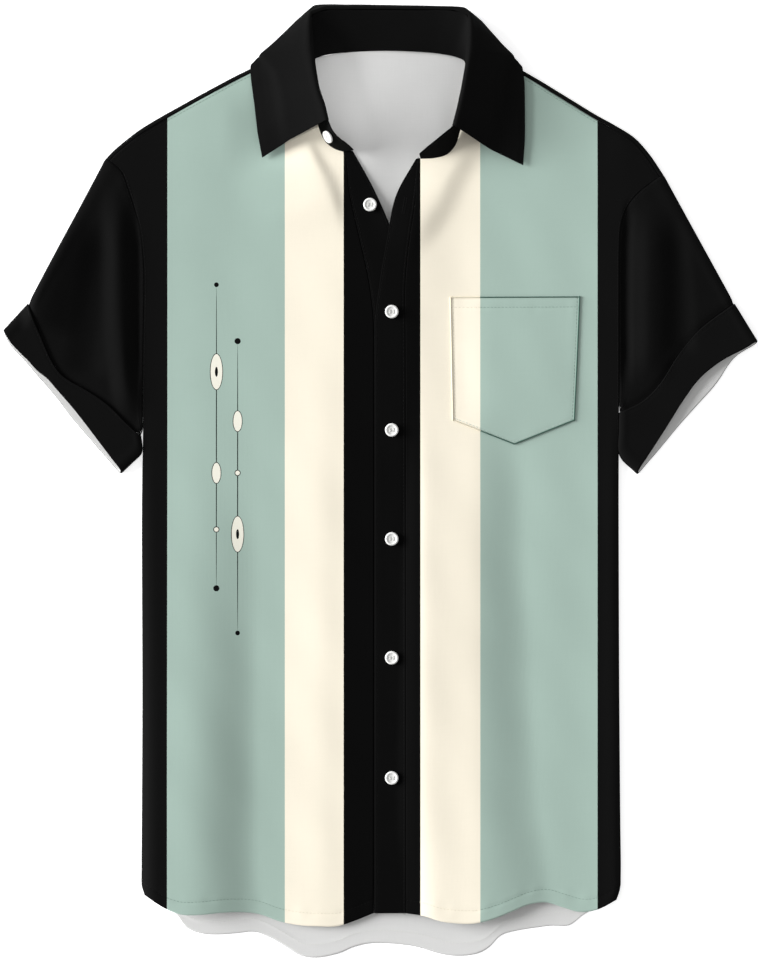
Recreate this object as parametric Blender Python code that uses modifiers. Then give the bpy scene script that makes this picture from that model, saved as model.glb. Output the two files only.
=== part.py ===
"""Bowling shirt with short sleeves, laid flat on its back.

Each cut piece of cloth is one closed wall, lofted between edge curves. Sizes are millimetres in
the tables and metres in the meshes. +Z is up from the surface, +Y runs from hem to collar, +X is
the wearer's left.
"""
import math

import bpy
import bmesh
from mathutils import Vector

MM = 0.001
WALL = 1.2           # cloth wall
CUFF_WALL = 2.4      # turned-up cuff, two layers of cloth
SEAM = 0.45          # gap between pieces that are sewn together
SIDE_GAP = 0.75      # the same at the side seams, whose edges face each other aslant
CUFF_GAP = 0.8       # the same at the cuffs, which are thicker than the sleeves
LOWER = WALL / 2     # middle of the layer that lies on the surface
LOFT = 4.2           # upper layer above the lower one, middle to middle
UPPER = LOWER + LOFT
OVERLAP = WALL + 0.45    # rise of the left front where it lies on the right front's band
ROLL = (LOFT - SIDE_GAP) / 2     # radius of a side seam's quarter roll
SHOULDER = LOFT / 2      # radius of the shoulder fold
BACK_LIP = 1.0       # width of the back that shows on top beyond the shoulder fold
BAND_LAP = 0.42      # gap beside a button band
POCKET_LIFT = WALL + 0.45
LEAF_GAP = 1.0       # between the stand's top and the leaf, room for its sharp corners

SIDE_ROWS = 12
CORNER_ROWS = 2      # of them round the hem's corner
ARM_ROWS = 14
NECK_ROWS = 7
SHOULDER_COLS = 9
SEAT_COLS = 3
FOLD_STEPS = 5
NECK_COLS = 5
STRIP_COLS = 3

BUTTON_D = 11.5
BUTTON_T = 2.6
BUTTON_SIDES = 16
HOLE_D = 1.7
HOLE_GAP = 3.0       # between hole centres
BUTTON_REST = 0.35   # thread between button and cloth
BAND_X = 10.0
BAND_BUTTONS = {"button_1": 143.0, "button_2": 42.5, "button_3": -50.0,
                "button_4": -151.0, "button_5": -253.0}

# Outline curves, each row (x, y), from hem upwards or from the outside inwards.
SIDE_RIGHT = ((-198.5, -358), (-202.5, -349), (-203, -335), (-202.3, -187), (-202.7, -34),
              (-201.3, 42))
ARM_RIGHT = ((-201.3, 42), (-201, 106), (-200, 171), (-202, 201), (-205, 221), (-210, 236),
             (-217, 258), (-224, 268), (-233, 274))
SIDE_LEFT = ((201, -359.5), (204.5, -350), (205, -335), (203.8, -187), (203.2, -34), (203, 61))
ARM_LEFT = ((203, 61), (203, 106), (203, 153), (203.5, 204), (206.5, 225), (217, 242),
            (229, 252), (241, 260))
SHOULDER_RIGHT = ((-233, 274), (-210, 294), (-181, 312), (-110, 350), (-82, 356.5))
SHOULDER_LEFT = ((241, 260), (231, 275), (224, 283), (212, 295), (185, 310), (122, 348),
                 (98, 356.5))
SEAT_RIGHT = ((-82, 356.5), (-62, 358))      # shoulder's end, under the collar
SEAT_LEFT = ((98, 356.5), (78, 359.5))
NECK_BACK = ((-62, 358), (-42, 362), (8, 366), (57, 363), (78, 359.5))
HEM_RIGHT = ((-198.5, -358), (-190, -363), (-180, -366.5), (-166, -369), (-148, -368), (-128, -366),
             (-107, -367), (-92, -371), (-81, -375), (-57, -377), (-31, -376), (-16, -369),
             (-5, -365))
HEM_LEFT = ((22, -368), (34, -369), (42, -372), (60, -376), (85, -376), (107, -369),
            (124, -362), (139, -359), (154, -362), (165, -366), (184, -367), (201, -359.5))
HEM_BACK = ((-198.5, -358), (-178, -371), (-163, -384), (-133, -387), (-106, -385), (-85, -395),
            (-65, -406), (-42, -405), (-12, -395), (26, -396.5), (60, -405), (88, -402),
            (106, -387), (144, -380), (173, -376), (201, -359.5))

# Right front: neck seam from the shoulder down, and the inner side of its button band.
NECK_RIGHT = ((-62, 355), (-57, 341), (-54.5, 325), (-52, 310), (-50, 300), (-45.5, 290.5),
              (-40, 285.2), (-31.5, 281))
STITCH_RIGHT = ((-5, -368), (-5, -343), (-5, 100), (-8, 160), (-16, 200), (-24, 235), (-29, 262),
                (-31.5, 281))
EDGE_RIGHT = ((23, -368), (23, -343), (23, 100), (22, 153), (17, 196), (8, 216), (-9.5, 257),
              (-13.5, 267), (-18.5, 275), (-23, 279.5))
# Left front: the same two, and the band's free edge.
NECK_LEFT = ((78, 356), (72.5, 335), (69, 312), (66.3, 294), (62.5, 284.5), (56, 276.8),
             (47.5, 274.2), (34, 273.5))
STITCH_LEFT = ((22, -368), (22, -343), (21.5, 100), (21, 160), (24, 196), (28, 227), (32, 250),
               (34, 273.5))
EDGE_LEFT = ((-4, -368), (-4, -343), (-4, 100), (-3, 154), (1, 173), (8, 216), (11.5, 232),
             (15, 247), (19.5, 260.5), (25, 268), (30.5, 272.8))

# Cuffs: seam on the sleeve, free edge of the upper and of the lower layer, outside to inside.
CUFF_RIGHT_SEAM = ((-299, 150), (-293, 134), (-280, 103), (-269, 88), (-247, 75), (-230, 63),
                   (-216, 49), (-204, 37))
CUFF_RIGHT_TOP = ((-320, 128), (-313, 116), (-300, 103), (-289, 91), (-281, 85), (-272, 74),
                  (-258, 58), (-219, 7))
CUFF_RIGHT_LOW = ((-320, 127), (-314, 115), (-302, 102), (-291, 89), (-283, 80), (-273, 68),
                  (-260, 51), (-220, 5))
CUFF_RIGHT_TURN = ((-204, 37), (-202.8, 22), (-217, 5))
CUFF_LEFT_SEAM = ((301.5, 150), (279, 134), (266, 122), (252, 104), (238, 82), (223, 67),
                  (206, 57))
CUFF_LEFT_TOP = ((321, 119), (308, 114), (287, 101), (271, 87), (257, 67), (242, 43),
                 (219, 8))
CUFF_LEFT_LOW = ((321, 117), (305, 105.5), (286, 82.5), (270, 64.5), (254, 46.5), (240, 29.5),
                 (218, 4))
CUFF_LEFT_TURN = ((206, 57), (204.5, 20), (214.5, 4.5))

# Largest folds of the upper layer, from their upper end down: half widths to -X and to +X, height
# (a trough below zero), and the share of its length over which it grows.
FOLDS = (
    # x0, y0, x1, y1, to -X, to +X, height, growth
    (-168, 75, -172, -410, 28, 70, 5.8, 0.75),
    (-103, 75, -106, -410, 46, 60, -2.3, 0.75),
    (66, 78, 94, -410, 46, 50, 4.2, 0.3),
    (116, 78, 150, -410, 42, 66, -1.7, 0.3),
    (-62, 284, -42, 226, 16, 13, 2.6, 0.5),
    (60, 271, 31, 205, 20, 15, 2.8, 0.5),
    (-228, 244, -228, 78, 11, 15, 3.8, 0.4),
    (-234, 226, -243, 82, 26, 9, -2.2, 0.4),
    (-208, 225, -208, 60, 13, 6, -1.8, 0.3),
    (224, 240, 225, 90, 12, 13, 3.2, 0.4),
    (252, 222, 257, 108, 22, 12, -2.2, 0.4),
    (211, 235, 211, 80, 9, 8, -1.6, 0.3),
)

# Collar: one row per section, from the wearer's right end round the back to the left end.
# Stand: foot (x, y, z) and top (x, y, z).
STAND = (
    # foot x, y, z, top x, y, z
    (-30, 279.2, 6.5, -22.5, 280.2, 12),
    (-36.5, 280.8, 6.5, -28, 285, 18),
    (-42.5, 284.2, 6.5, -34, 289, 23),
    (-47, 289, 6.5, -39, 294, 25.5),
    (-52, 300.5, 6.5, -44, 304.5, 26),
    (-53.5, 313, 6.5, -46.8, 316.5, 26),
    (-55, 327, 6.5, -51.5, 331, 26),
    (-56.5, 341, 6.5, -54.3, 347, 25),
    (-57.5, 349, 6.5, -56, 362, 23),
    (-57.5, 354, 5.9, -57, 372.5, 21),
    (-56, 357.5, 5.2, -57.5, 382, 19),
    (-48, 361, 3.2, -57.3, 393.5, 15.5),
    (-36, 363, 2.3, -46, 398.2, 12.5),
    (-14, 364.7, 2.2, -19, 398.8, 10),
    (8, 365.2, 2.2, 8, 398.8, 9.5),
    (30, 364.5, 2.2, 35, 398.6, 10),
    (52, 362.5, 2.3, 62, 397.8, 12.5),
    (64, 360, 3.2, 74.2, 393.5, 15.5),
    (71.5, 356.5, 5.2, 74.8, 382.5, 19),
    (73, 353, 5.9, 74.4, 373, 21),
    (73.8, 348, 6.5, 73.6, 363, 23),
    (73, 341, 6.5, 72, 349, 25),
    (71.5, 327, 6.5, 69, 331.5, 26),
    (69.8, 310, 6.5, 65.6, 315, 26),
    (67.3, 295, 6.5, 61.6, 299.5, 26),
    (64, 285, 6.5, 55, 293.8, 25.5),
    (57.5, 276.5, 6.5, 48, 288.3, 23),
    (47, 273.2, 6.5, 40.5, 282.6, 18),
    (34.5, 273, 6.5, 33.5, 277, 12),
)
FIRST_LEAF = 4       # the leaf starts at this section of the stand
# Leaf: where it turns down, and its free edge.
LEAF = (
    # turn x, y, z, edge x, y, z
    (-76, 289, 15, -100, 274, 7.0),
    (-80, 309, 18, -104, 296, 7.0),
    (-83, 328, 19, -106.5, 318, 7.0),
    (-88, 347, 18, -109.5, 340, 7.2),
    (-99.5, 361.8, 12.5, -109.6, 352.3, 7.2),
    (-93.5, 367.6, 10.5, -100.5, 358, 5.6),
    (-87, 374.2, 9, -90, 361, 3.8),
    (-73, 388, 7, -67, 364, 1.2),
    (-56.5, 402.6, 6, -49, 366.5, 0.7),
    (-26, 403.4, 5, -25, 369, LOWER),
    (8, 403.2, 5, 8, 370, LOWER),
    (36, 402.6, 5, 38, 369, LOWER),
    (72.5, 400.6, 6, 64, 367, 0.7),
    (87, 388.6, 7, 81, 364.5, 1.2),
    (100, 374.3, 9, 101, 361.5, 3.8),
    (105.5, 367.9, 10.5, 111, 357.5, 5.6),
    (111.5, 361, 12.5, 120.5, 351, 7.2),
    (100, 348, 18, 122.6, 338, 7.2),
    (98, 329, 19, 123, 314, 7.0),
    (97, 309, 18, 123, 291, 7.0),
    (92, 281.5, 15, 121.5, 267.5, 7.0),
)

POCKET_MOUTH = ((60, 155), (115, 155.3), (169.6, 155.6))
POCKET_SIDE_IN = ((62, 51), (61, 104), (60, 155))
POCKET_SIDE_OUT = ((165, 51), (167.5, 104), (169.6, 155.6))
POCKET_POINT = (114, 30.6)
POCKET_COLS = 10
POCKET_ROWS = 9

COLOURS = {
    "cloth_mint": (0.39, 0.52, 0.46, 1.0), "cloth_cream": (0.98, 0.91, 0.75, 1.0),
    "cloth_black": (0.008, 0.008, 0.008, 1.0), "button_white": (0.86, 0.86, 0.86, 1.0),
}


def clear_scene():
    """Remove what the scene holds, so that only the shirt is in it."""
    for item in list(bpy.data.objects):
        bpy.data.objects.remove(item, do_unlink=True)


def smooth(value):
    """Ramp from 0 to 1 with level ends."""
    value = min(1.0, max(0.0, value))
    return value * value * (3 - 2 * value)


def sample(table, count, size=24):
    """Points spaced evenly along a smooth curve through the rows of a table."""
    knots = [Vector(row) for row in table]
    ends = [knots[0] * 2 - knots[1]] + knots + [knots[-1] * 2 - knots[-2]]
    fine = [knots[0]]
    for k in range(1, len(ends) - 2):
        a, b, c, d = ends[k - 1:k + 3]
        for step in range(1, size + 1):
            t = step / size
            fine.append(0.5 * (2 * b + (c - a) * t + (2 * a - 5 * b + 4 * c - d) * t ** 2
                               + (3 * b - a - 3 * c + d) * t ** 3))
    reach = [0.0]
    for p, q in zip(fine, fine[1:]):
        reach.append(reach[-1] + (q - p).length)
    out, k = [], 0
    for i in range(count + 1):
        goal = reach[-1] * i / count
        while k < len(fine) - 2 and reach[k + 1] < goal:
            k += 1
        share = (goal - reach[k]) / max(reach[k + 1] - reach[k], 1e-9)
        out.append(fine[k].lerp(fine[k + 1], min(1.0, share)))
    return out


def chain(*parts):
    """Join sampled curves, each given as a table and its count of segments."""
    out = []
    for table, count in parts:
        out += sample(table, count)[1 if out else 0:]
    return out


def outward(points, side):
    """Unit vectors in plan that point to one side of a run of points: +1 right, -1 left."""
    out = []
    for i in range(len(points)):
        along = points[min(i + 1, len(points) - 1)] - points[max(i - 1, 0)]
        out.append(Vector((along.y, -along.x)).normalized() * side)
    return out


def shifted(points, side, distance):
    """A run of points moved sideways; distance is a number or one number a point."""
    reach = distance if isinstance(distance, list) else [distance] * len(points)
    return [p + n * d for p, n, d in zip(points, outward(points, side), reach)]


def snapped(points, first, last):
    """A run of points whose ends are moved to two given corners, the rest in proportion."""
    top = len(points) - 1
    a, b = first - points[0], last - points[-1]
    return [p + a * (1 - i / top) + b * (i / top) for i, p in enumerate(points)]


def corner(point, side_normal, side_gap, top_normal, top_gap):
    """Plan point that lies inside a corner, by one distance from each of its two edges."""
    a, b = side_normal, top_normal
    det = a.x * b.y - a.y * b.x
    return point + Vector((-side_gap * b.y + top_gap * a.y, -top_gap * a.x + side_gap * b.x)) / det


def patch(bottom, top, left, right):
    """Grid of plan points between four edge curves that share their corners."""
    nu, nv = len(bottom) - 1, len(left) - 1
    rows = []
    for j in range(nv + 1):
        v, row = j / nv, []
        for i in range(nu + 1):
            u = i / nu
            corner = ((bottom[0] * (1 - u) + bottom[-1] * u) * (1 - v)
                      + (top[0] * (1 - u) + top[-1] * u) * v)
            row.append(bottom[i] * (1 - v) + top[i] * v + left[j] * (1 - u) + right[j] * u - corner)
        rows.append(row)
    return rows


def ridge(x, y, fold):
    """Height that one fold adds at a place of the upper layer."""
    x0, y0, x1, y1, west, east, height, growth = fold
    dx, dy = x1 - x0, y1 - y0
    t = ((x - x0) * dx + (y - y0) * dy) / (dx * dx + dy * dy)
    t = min(1.0, max(0.0, t))
    half = east if dx * (y - y0) - dy * (x - x0) > 0 else west
    away = math.hypot(x - x0 - t * dx, y - y0 - t * dy) / half
    if away >= 1:
        return 0.0
    return height * math.cos(away * math.pi / 2) ** 2 * smooth(t / growth)


def upper(x, y):
    """Middle of the upper layer above the surface."""
    return UPPER + sum(ridge(x, y, fold) for fold in FOLDS)


def upper_left(x, y):
    """The upper layer where the left front lies on the right front's band."""
    return upper(x, y) + OVERLAP * smooth((62 - x) / 32) * smooth((256 - y) / 26)


def lift(rows, height):
    """Plan grid to a grid in space, at the heights of a function of x and y."""
    return [[Vector((p.x, p.y, height(p.x, p.y))) for p in row] for row in rows]


def rolled(edge, normals, drop, share, reach=ROLL):
    """Columns of a quarter roll beside an edge, flat where the share is 0."""
    columns = []
    flat = reach * math.pi / 2
    for k in range(1, STRIP_COLS + 1):
        angle = math.pi / 2 * k / STRIP_COLS
        column = []
        for p, n, d, s in zip(edge, normals, drop, share):
            out = reach * math.sin(angle) * s + flat * k / STRIP_COLS * (1 - s)
            column.append(Vector((p.x + n.x * out, p.y + n.y * out,
                                  p.z - d * (1 - math.cos(angle)) * s)))
        columns.append(column)
    return columns


def wall(name, rows, thickness, finish, ring=False):
    """Cloth as an open surface of middle points, thickened; a ring grid joins its last column."""
    mesh = bmesh.new()
    width = len(rows[0])
    points = [mesh.verts.new(p * MM) for row in rows for p in row]
    for j in range(len(rows) - 1):
        for i in range(width if ring else width - 1):
            a, b = j * width + i, j * width + (i + 1) % width
            mesh.faces.new([points[k] for k in (a, b, b + width, a + width)])
    item = placed(name, mesh, finish)
    shell = item.modifiers.new("cloth", "SOLIDIFY")
    shell.thickness = thickness * MM
    shell.offset = 0.0
    return item


def placed(name, mesh, finish):
    """Object in the shirt's collection from a bmesh, smooth, with a material of its own."""
    data = bpy.data.meshes.new(name)
    mesh.to_mesh(data)
    mesh.free()
    data.shade_smooth()
    item = bpy.data.objects.new(name, data)
    data.materials.append(painted(name, finish))
    home().objects.link(item)
    return item


def painted(name, finish):
    """Plain material of a part."""
    colour = bpy.data.materials.new(f"{name}_{finish}")
    colour.use_nodes = True
    shader = colour.node_tree.nodes["Principled BSDF"]
    shader.inputs["Base Color"].default_value = COLOURS[finish]
    shader.inputs["Roughness"].default_value = 0.3 if finish == "button_white" else 0.85
    return colour


def home(name="bowling_shirt"):
    """Collection that holds the parts, or the cutters."""
    held = bpy.data.collections.get(name)
    if held is None:
        held = bpy.data.collections.new(name)
        bpy.context.scene.collection.children.link(held)
    return held


def body_side(side):
    """Side and armhole of one half: outline, share of roll a row, and the flat edge inside it."""
    tables = (SIDE_RIGHT, ARM_RIGHT) if side < 0 else (SIDE_LEFT, ARM_LEFT)
    outline = chain((tables[0][:3], CORNER_ROWS), (tables[0][2:], SIDE_ROWS - CORNER_ROWS),
                    (tables[1], ARM_ROWS))
    share = [1.0] * (SIDE_ROWS - 1) + [0.6, 0.0] + [0.0] * ARM_ROWS
    reach = [ROLL + WALL / 2 if s == 1 else ROLL * math.pi / 2 * (1 - s) + (ROLL + WALL / 2) * s
             for s in share]
    return shifted(outline, -side, reach), share


def armhole_corner(side, line, inset):
    """Corner of a panel's flat part at the shoulder tip, inside armhole and shoulder line."""
    arm = sample(ARM_RIGHT if side < 0 else ARM_LEFT, ARM_ROWS)
    return corner(line[0], outward(arm, side)[-1], ROLL * math.pi / 2,
                  outward(line, side)[0], inset)


def with_side(rows, edge_index, side, share, seam_z):
    """Add the side seam's roll to a lifted grid, on its first or last column."""
    edge = [row[edge_index] for row in rows]
    normals = outward(edge, side)
    drop = [p.z - seam_z for p in edge]
    strip = rolled(edge, normals, drop, share)
    for j, row in enumerate(rows):
        extra = [column[j] for column in strip]
        rows[j] = extra[::-1] + row if edge_index == 0 else row + extra
    return rows


def front(name, side, height, stitch, neck, shoulder, seat, hem):
    """One front from its side seam to its button band."""
    outer, share = body_side(side)
    cols = SHOULDER_COLS + SEAT_COLS
    back_off = SHOULDER + WALL / 2 + BACK_LIP + SEAM
    inner = band_line(stitch) + sample(neck[::-1], NECK_ROWS)[1:]
    inner = shifted(inner, side, BAND_LAP)
    line = chain((shoulder, SHOULDER_COLS), (seat, SEAT_COLS))
    top = shifted(line, -side, back_off)
    top[0] = armhole_corner(side, line, back_off)
    outer = outer[:-1] + [top[0]]
    inner = inner[:-1] + [top[-1]]
    low = sample(hem if side < 0 else hem[::-1], cols)
    low = snapped(low, outer[0], inner[0])
    rows = patch(low, top, outer, inner)
    rows = lift(rows, height)
    rows = with_side(rows, 0, side, share, LOWER + ROLL + SIDE_GAP)
    return wall(name, rows, WALL, "cloth_mint")


def band_line(table):
    """Edge of a button band, on the rows of its front."""
    return chain((table[:2], CORNER_ROWS),
                 (table[1:], SIDE_ROWS + ARM_ROWS - NECK_ROWS - CORNER_ROWS))


def band(name, height, edge, stitch):
    """Button band between its free edge and its stitch line, on the rows of its front."""
    left, right = band_line(edge), band_line(stitch)
    rows = [[a.lerp(b, k / 3) for k in range(4)] for a, b in zip(left, right)]
    return wall(name, lift(rows, height), WALL, "cloth_black")


def back():
    """Whole back: flat below, with the shoulders folded over onto the top."""
    left, share = body_side(-1)
    right, share_right = body_side(1)
    top = chain((SHOULDER_RIGHT, SHOULDER_COLS), (SEAT_RIGHT, SEAT_COLS), (NECK_BACK, NECK_COLS),
                (SEAT_LEFT[::-1], SEAT_COLS), (SHOULDER_LEFT[::-1], SHOULDER_COLS))
    ease = [1 - k / SEAT_COLS for k in range(SEAT_COLS)]
    fold = [1.0] * SHOULDER_COLS + ease + [0.0] * (NECK_COLS + 1)
    fold += ease[::-1] + [1.0] * SHOULDER_COLS
    inset = [max(fold_point(k / FOLD_STEPS, f)[0] for k in range(FOLD_STEPS + 1))
             + WALL / 2 * f for f in fold]
    first = armhole_corner(-1, top, inset[0])
    last = armhole_corner(1, top[::-1], inset[-1])
    top = [first] + shifted(top, 1, inset)[1:-1] + [last]
    left, right = left[:-1] + [first], right[:-1] + [last]
    low = snapped(sample(HEM_BACK, len(top) - 1), left[0], right[0])
    rows = lift(patch(low, top, left, right), lambda x, y: LOWER)
    rows = with_side(rows, 0, -1, share, LOWER + ROLL)
    rows = with_side(rows, -1, 1, share_right, LOWER + ROLL)
    spread = [fold[0]] * STRIP_COLS + fold + [fold[-1]] * STRIP_COLS
    edge = rows[-1]
    normals = outward(edge, -1)
    for k in range(1, FOLD_STEPS + 1):
        turned = [fold_point(k / FOLD_STEPS, f) for f in spread]
        rows.append([Vector((p.x + n.x * go, p.y + n.y * go, p.z + rise))
                     for p, n, (go, rise) in zip(edge, normals, turned)])
    return wall("back", rows, WALL, "cloth_black")


def fold_point(part, share):
    """Reach and rise along the shoulder fold: half a circle and a lip, unrolled by the share."""
    arc = SHOULDER * math.pi
    along = part * (arc + BACK_LIP)
    angle = math.pi * share
    if angle < 0.01:
        return along, 0.0
    radius, bent = arc / angle, min(along, arc)
    past = along - bent
    return (radius * math.sin(bent / radius) + past * math.cos(angle),
            radius * (1 - math.cos(bent / radius)) + past * math.sin(angle))


def tube(name, top_start, top_end, low_start, low_end, turns, stations, thickness, base, add):
    """Flattened tube: an upper layer, two folds and a lower layer at each station.

    The four runs give the layers at both ends, from outer fold to inner fold. turns holds the
    inner fold's own line, if it isn't straight.
    """
    rows = []
    for j in range(stations + 1):
        t = j / stations
        shift = Vector((0.0, 0.0))
        if turns:
            shift = turns[j] - turns[0].lerp(turns[-1], t)
        count = len(top_start) - 1
        top, low = [], []
        for i, (a, b, c, d) in enumerate(zip(top_start, top_end, low_start, low_end)):
            pull = shift * smooth((i / count - 0.72) / 0.28)
            top.append(a.lerp(b, t) + pull)
            low.append(c.lerp(d, t) + pull)
        rows.append(flattened(top, low, thickness, base, add))
    return wall(name, rows, thickness, "cloth_black", ring=True)


def flattened(top, low, thickness, base, add):
    """Section of a flattened tube whose folds stay inside the ends of its layers."""
    steps = 4
    tops = [Vector((p.x, p.y, upper(p.x, p.y) + add)) for p in top]
    lows = [Vector((p.x, p.y, base)) for p in low]
    for end, inside in ((0, 1), (-1, -2)):
        for layer in (tops, lows):
            layer[end] = tucked(layer[end], layer[inside], (LOFT + thickness) / 2)
    out = list(tops)
    for start, stop, inside in ((tops[-1], lows[-1], tops[-2]), (lows[0], tops[0], lows[1])):
        if stop is tops[0]:
            out += lows[::-1]
        away = Vector((start.x - inside.x, start.y - inside.y, 0.0)).normalized()
        middle, half = (start + stop) / 2, (start - stop) / 2
        for k in range(1, steps):
            angle = math.pi * k / steps
            out.append(middle + half * math.cos(angle)
                       + away * (abs(half.z) * math.sin(angle)))
    return out


def tucked(end, inside, distance):
    """A layer's end moved inwards along the layer."""
    along = Vector((inside.x - end.x, inside.y - end.y, 0.0))
    return end + along.normalized() * min(distance, along.length * 0.7)


def sleeve(name, side, arm, cuff_seam):
    """Sleeve from the armhole to the cuff's seam."""
    # the inner fold stops short of its neighbours, where the tube is narrowest
    spare = [smooth((i / ARM_ROWS - 0.75) / 0.25) for i in range(ARM_ROWS + 1)]
    start = shifted(sample(arm[::-1], ARM_ROWS), -side, [SEAM + 1.6 * s for s in spare])
    stop = shifted(sample(cuff_seam, ARM_ROWS), side, [2.6 * s for s in spare])
    return tube(name, start, stop, start, stop, None, 10, WALL, LOWER, 0.0)


def cuff(name, side, seam, top_edge, low_edge, turn):
    """Turned-up cuff from its seam to its free edges."""
    stations = 4
    start = shifted(sample(seam, ARM_ROWS), -side, CUFF_GAP)
    stop, low_stop = sample(top_edge, ARM_ROWS), sample(low_edge, ARM_ROWS)
    turns = sample(turn, stations)
    lift_by = (CUFF_WALL - WALL) / 2
    return tube(name, start, stop, start, low_stop, turns, stations, CUFF_WALL,
                CUFF_WALL / 2, lift_by)


def stand():
    """Collar stand: upright at the sides, leaning back behind the neck."""
    rows = []
    for row in STAND:
        foot, top = Vector(row[:3]), Vector(row[3:])
        rows.append([foot.lerp(top, k / 4) for k in range(5)])
    return wall("collar_stand", rows, WALL, "cloth_black")


def leaf():
    """Collar leaf, which rolls over the stand's top and lies on the fronts."""
    sections = STAND[FIRST_LEAF:FIRST_LEAF + len(LEAF)]
    starts = [Vector(row[3:]) for row in sections]
    rows = []
    for i, (row, down) in enumerate(zip(sections, LEAF)):
        foot, top = Vector(row[:3]), Vector(row[3:])
        turn, edge = Vector(down[:3]), Vector(down[3:])
        up = (top - foot).normalized()
        along = starts[min(i + 1, len(starts) - 1)] - starts[max(i - 1, 0)]
        out = up.cross(along).normalized() * -1
        if out.dot(turn - top) < 0:
            out = -out
        start = top + up * LEAF_GAP
        crest = start + up * 2.2 + out * 2.2
        rows.append(sample((start, start + up * 1.2 + out * 0.5, crest, turn, edge), 9, size=12))
    return wall("collar_leaf", rows, WALL, "cloth_black")


def pocket():
    """Chest pocket on the left front, with a pointed foot."""
    left, right = sample(POCKET_SIDE_IN, POCKET_ROWS), sample(POCKET_SIDE_OUT, POCKET_ROWS)
    top = sample(POCKET_MOUTH, POCKET_COLS)
    point = Vector(POCKET_POINT)
    half = POCKET_COLS // 2
    low = [left[0].lerp(point, i / half) for i in range(half)]
    low += [point.lerp(right[0], i / half) for i in range(half + 1)]
    rows = lift(patch(low, top, left, right), lambda x, y: upper_left(x, y) + POCKET_LIFT)
    return wall("pocket", rows, WALL, "cloth_mint")


def button_form():
    """Mesh of a sewn button, face up: a turned disc with a dished face and four holes."""
    r, t = BUTTON_D / 2, BUTTON_T
    profile = ((0, t * 0.72), (r * 0.6, t * 0.72), (r * 0.68, t * 0.9), (r * 0.86, t),
               (r, t * 0.66), (r, t * 0.32), (r * 0.86, 0), (0, 0))
    mesh = bmesh.new()
    points = [mesh.verts.new((x * MM, 0, z * MM)) for x, z in profile]
    for a, b in zip(points, points[1:]):
        mesh.edges.new((a, b))
    form = placed("button_form", mesh, "button_white")
    turn = form.modifiers.new("turn", "SCREW")
    turn.steps = turn.render_steps = BUTTON_SIDES
    turn.use_merge_vertices, turn.merge_threshold = True, 0.00001
    cutters = [thread_hole(sx * HOLE_GAP / 2, sy * HOLE_GAP / 2)
               for sx in (-1, 1) for sy in (-1, 1)]
    for hole in cutters:
        cut = form.modifiers.new("hole", "BOOLEAN")
        cut.operation, cut.solver, cut.object = "DIFFERENCE", "EXACT", hole
    bpy.context.view_layer.update()
    drilled = bpy.data.meshes.new_from_object(
        form.evaluated_get(bpy.context.evaluated_depsgraph_get()))
    for item in [form] + cutters:
        bpy.data.objects.remove(item)
    return drilled


def thread_hole(x, y):
    """Cutter for one thread hole."""
    mesh = bmesh.new()
    bmesh.ops.create_cone(mesh, cap_ends=True, segments=6, radius1=HOLE_D / 2 * MM,
                          radius2=HOLE_D / 2 * MM, depth=BUTTON_T * 3 * MM)
    data = bpy.data.meshes.new("thread_hole")
    mesh.to_mesh(data)
    mesh.free()
    hole = bpy.data.objects.new("thread_hole", data)
    hole.location = (x * MM, y * MM, 0)
    hole.hide_render, hole.display_type = True, "WIRE"
    home("cutters").objects.link(hole)
    return hole


def place_button(name, mesh, point, normal):
    """Button with its underside at a point, facing along a normal; all share one mesh."""
    item = bpy.data.objects.new(name, mesh)
    item.location = point * MM
    item.rotation_mode = "QUATERNION"
    item.rotation_quaternion = Vector((0, 0, 1)).rotation_difference(normal)
    home().objects.link(item)
    item.material_slots[0].link = "OBJECT"
    item.material_slots[0].material = painted(name, "button_white")


def surface_normal(height, x, y):
    """Normal of a height function at a place."""
    dx = (height(x + 1, y) - height(x - 1, y)) / 2
    dy = (height(x, y + 1) - height(x, y - 1)) / 2
    return Vector((-dx, -dy, 1)).normalized()


def buttons():
    """Five band buttons, the neck button and the button on the stand's right end."""
    mesh = button_form()
    spots = {name: (BAND_X, y, upper_left) for name, y in BAND_BUTTONS.items()}
    spots["button_neck"] = (-8.5, 234.0, upper)
    for name, (x, y, height) in spots.items():
        normal = surface_normal(height, x, y)
        point = Vector((x, y, height(x, y))) + normal * (WALL / 2 + BUTTON_REST)
        place_button(name, mesh, point, normal)
    place_button("button_stand", mesh, *stand_spot())


def stand_spot():
    """Place and direction of the button on the outer face of the stand's right end."""
    foot, top = Vector(STAND[3][:3]), Vector(STAND[3][3:])
    along = Vector(STAND[4][:3]) + Vector(STAND[4][3:]) - Vector(STAND[2][:3]) \
        - Vector(STAND[2][3:])
    normal = along.cross(top - foot).normalized()
    if normal.x > 0:
        normal = -normal
    return foot.lerp(top, 0.58) + normal * (WALL / 2 + BUTTON_REST + 0.4), normal


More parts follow.
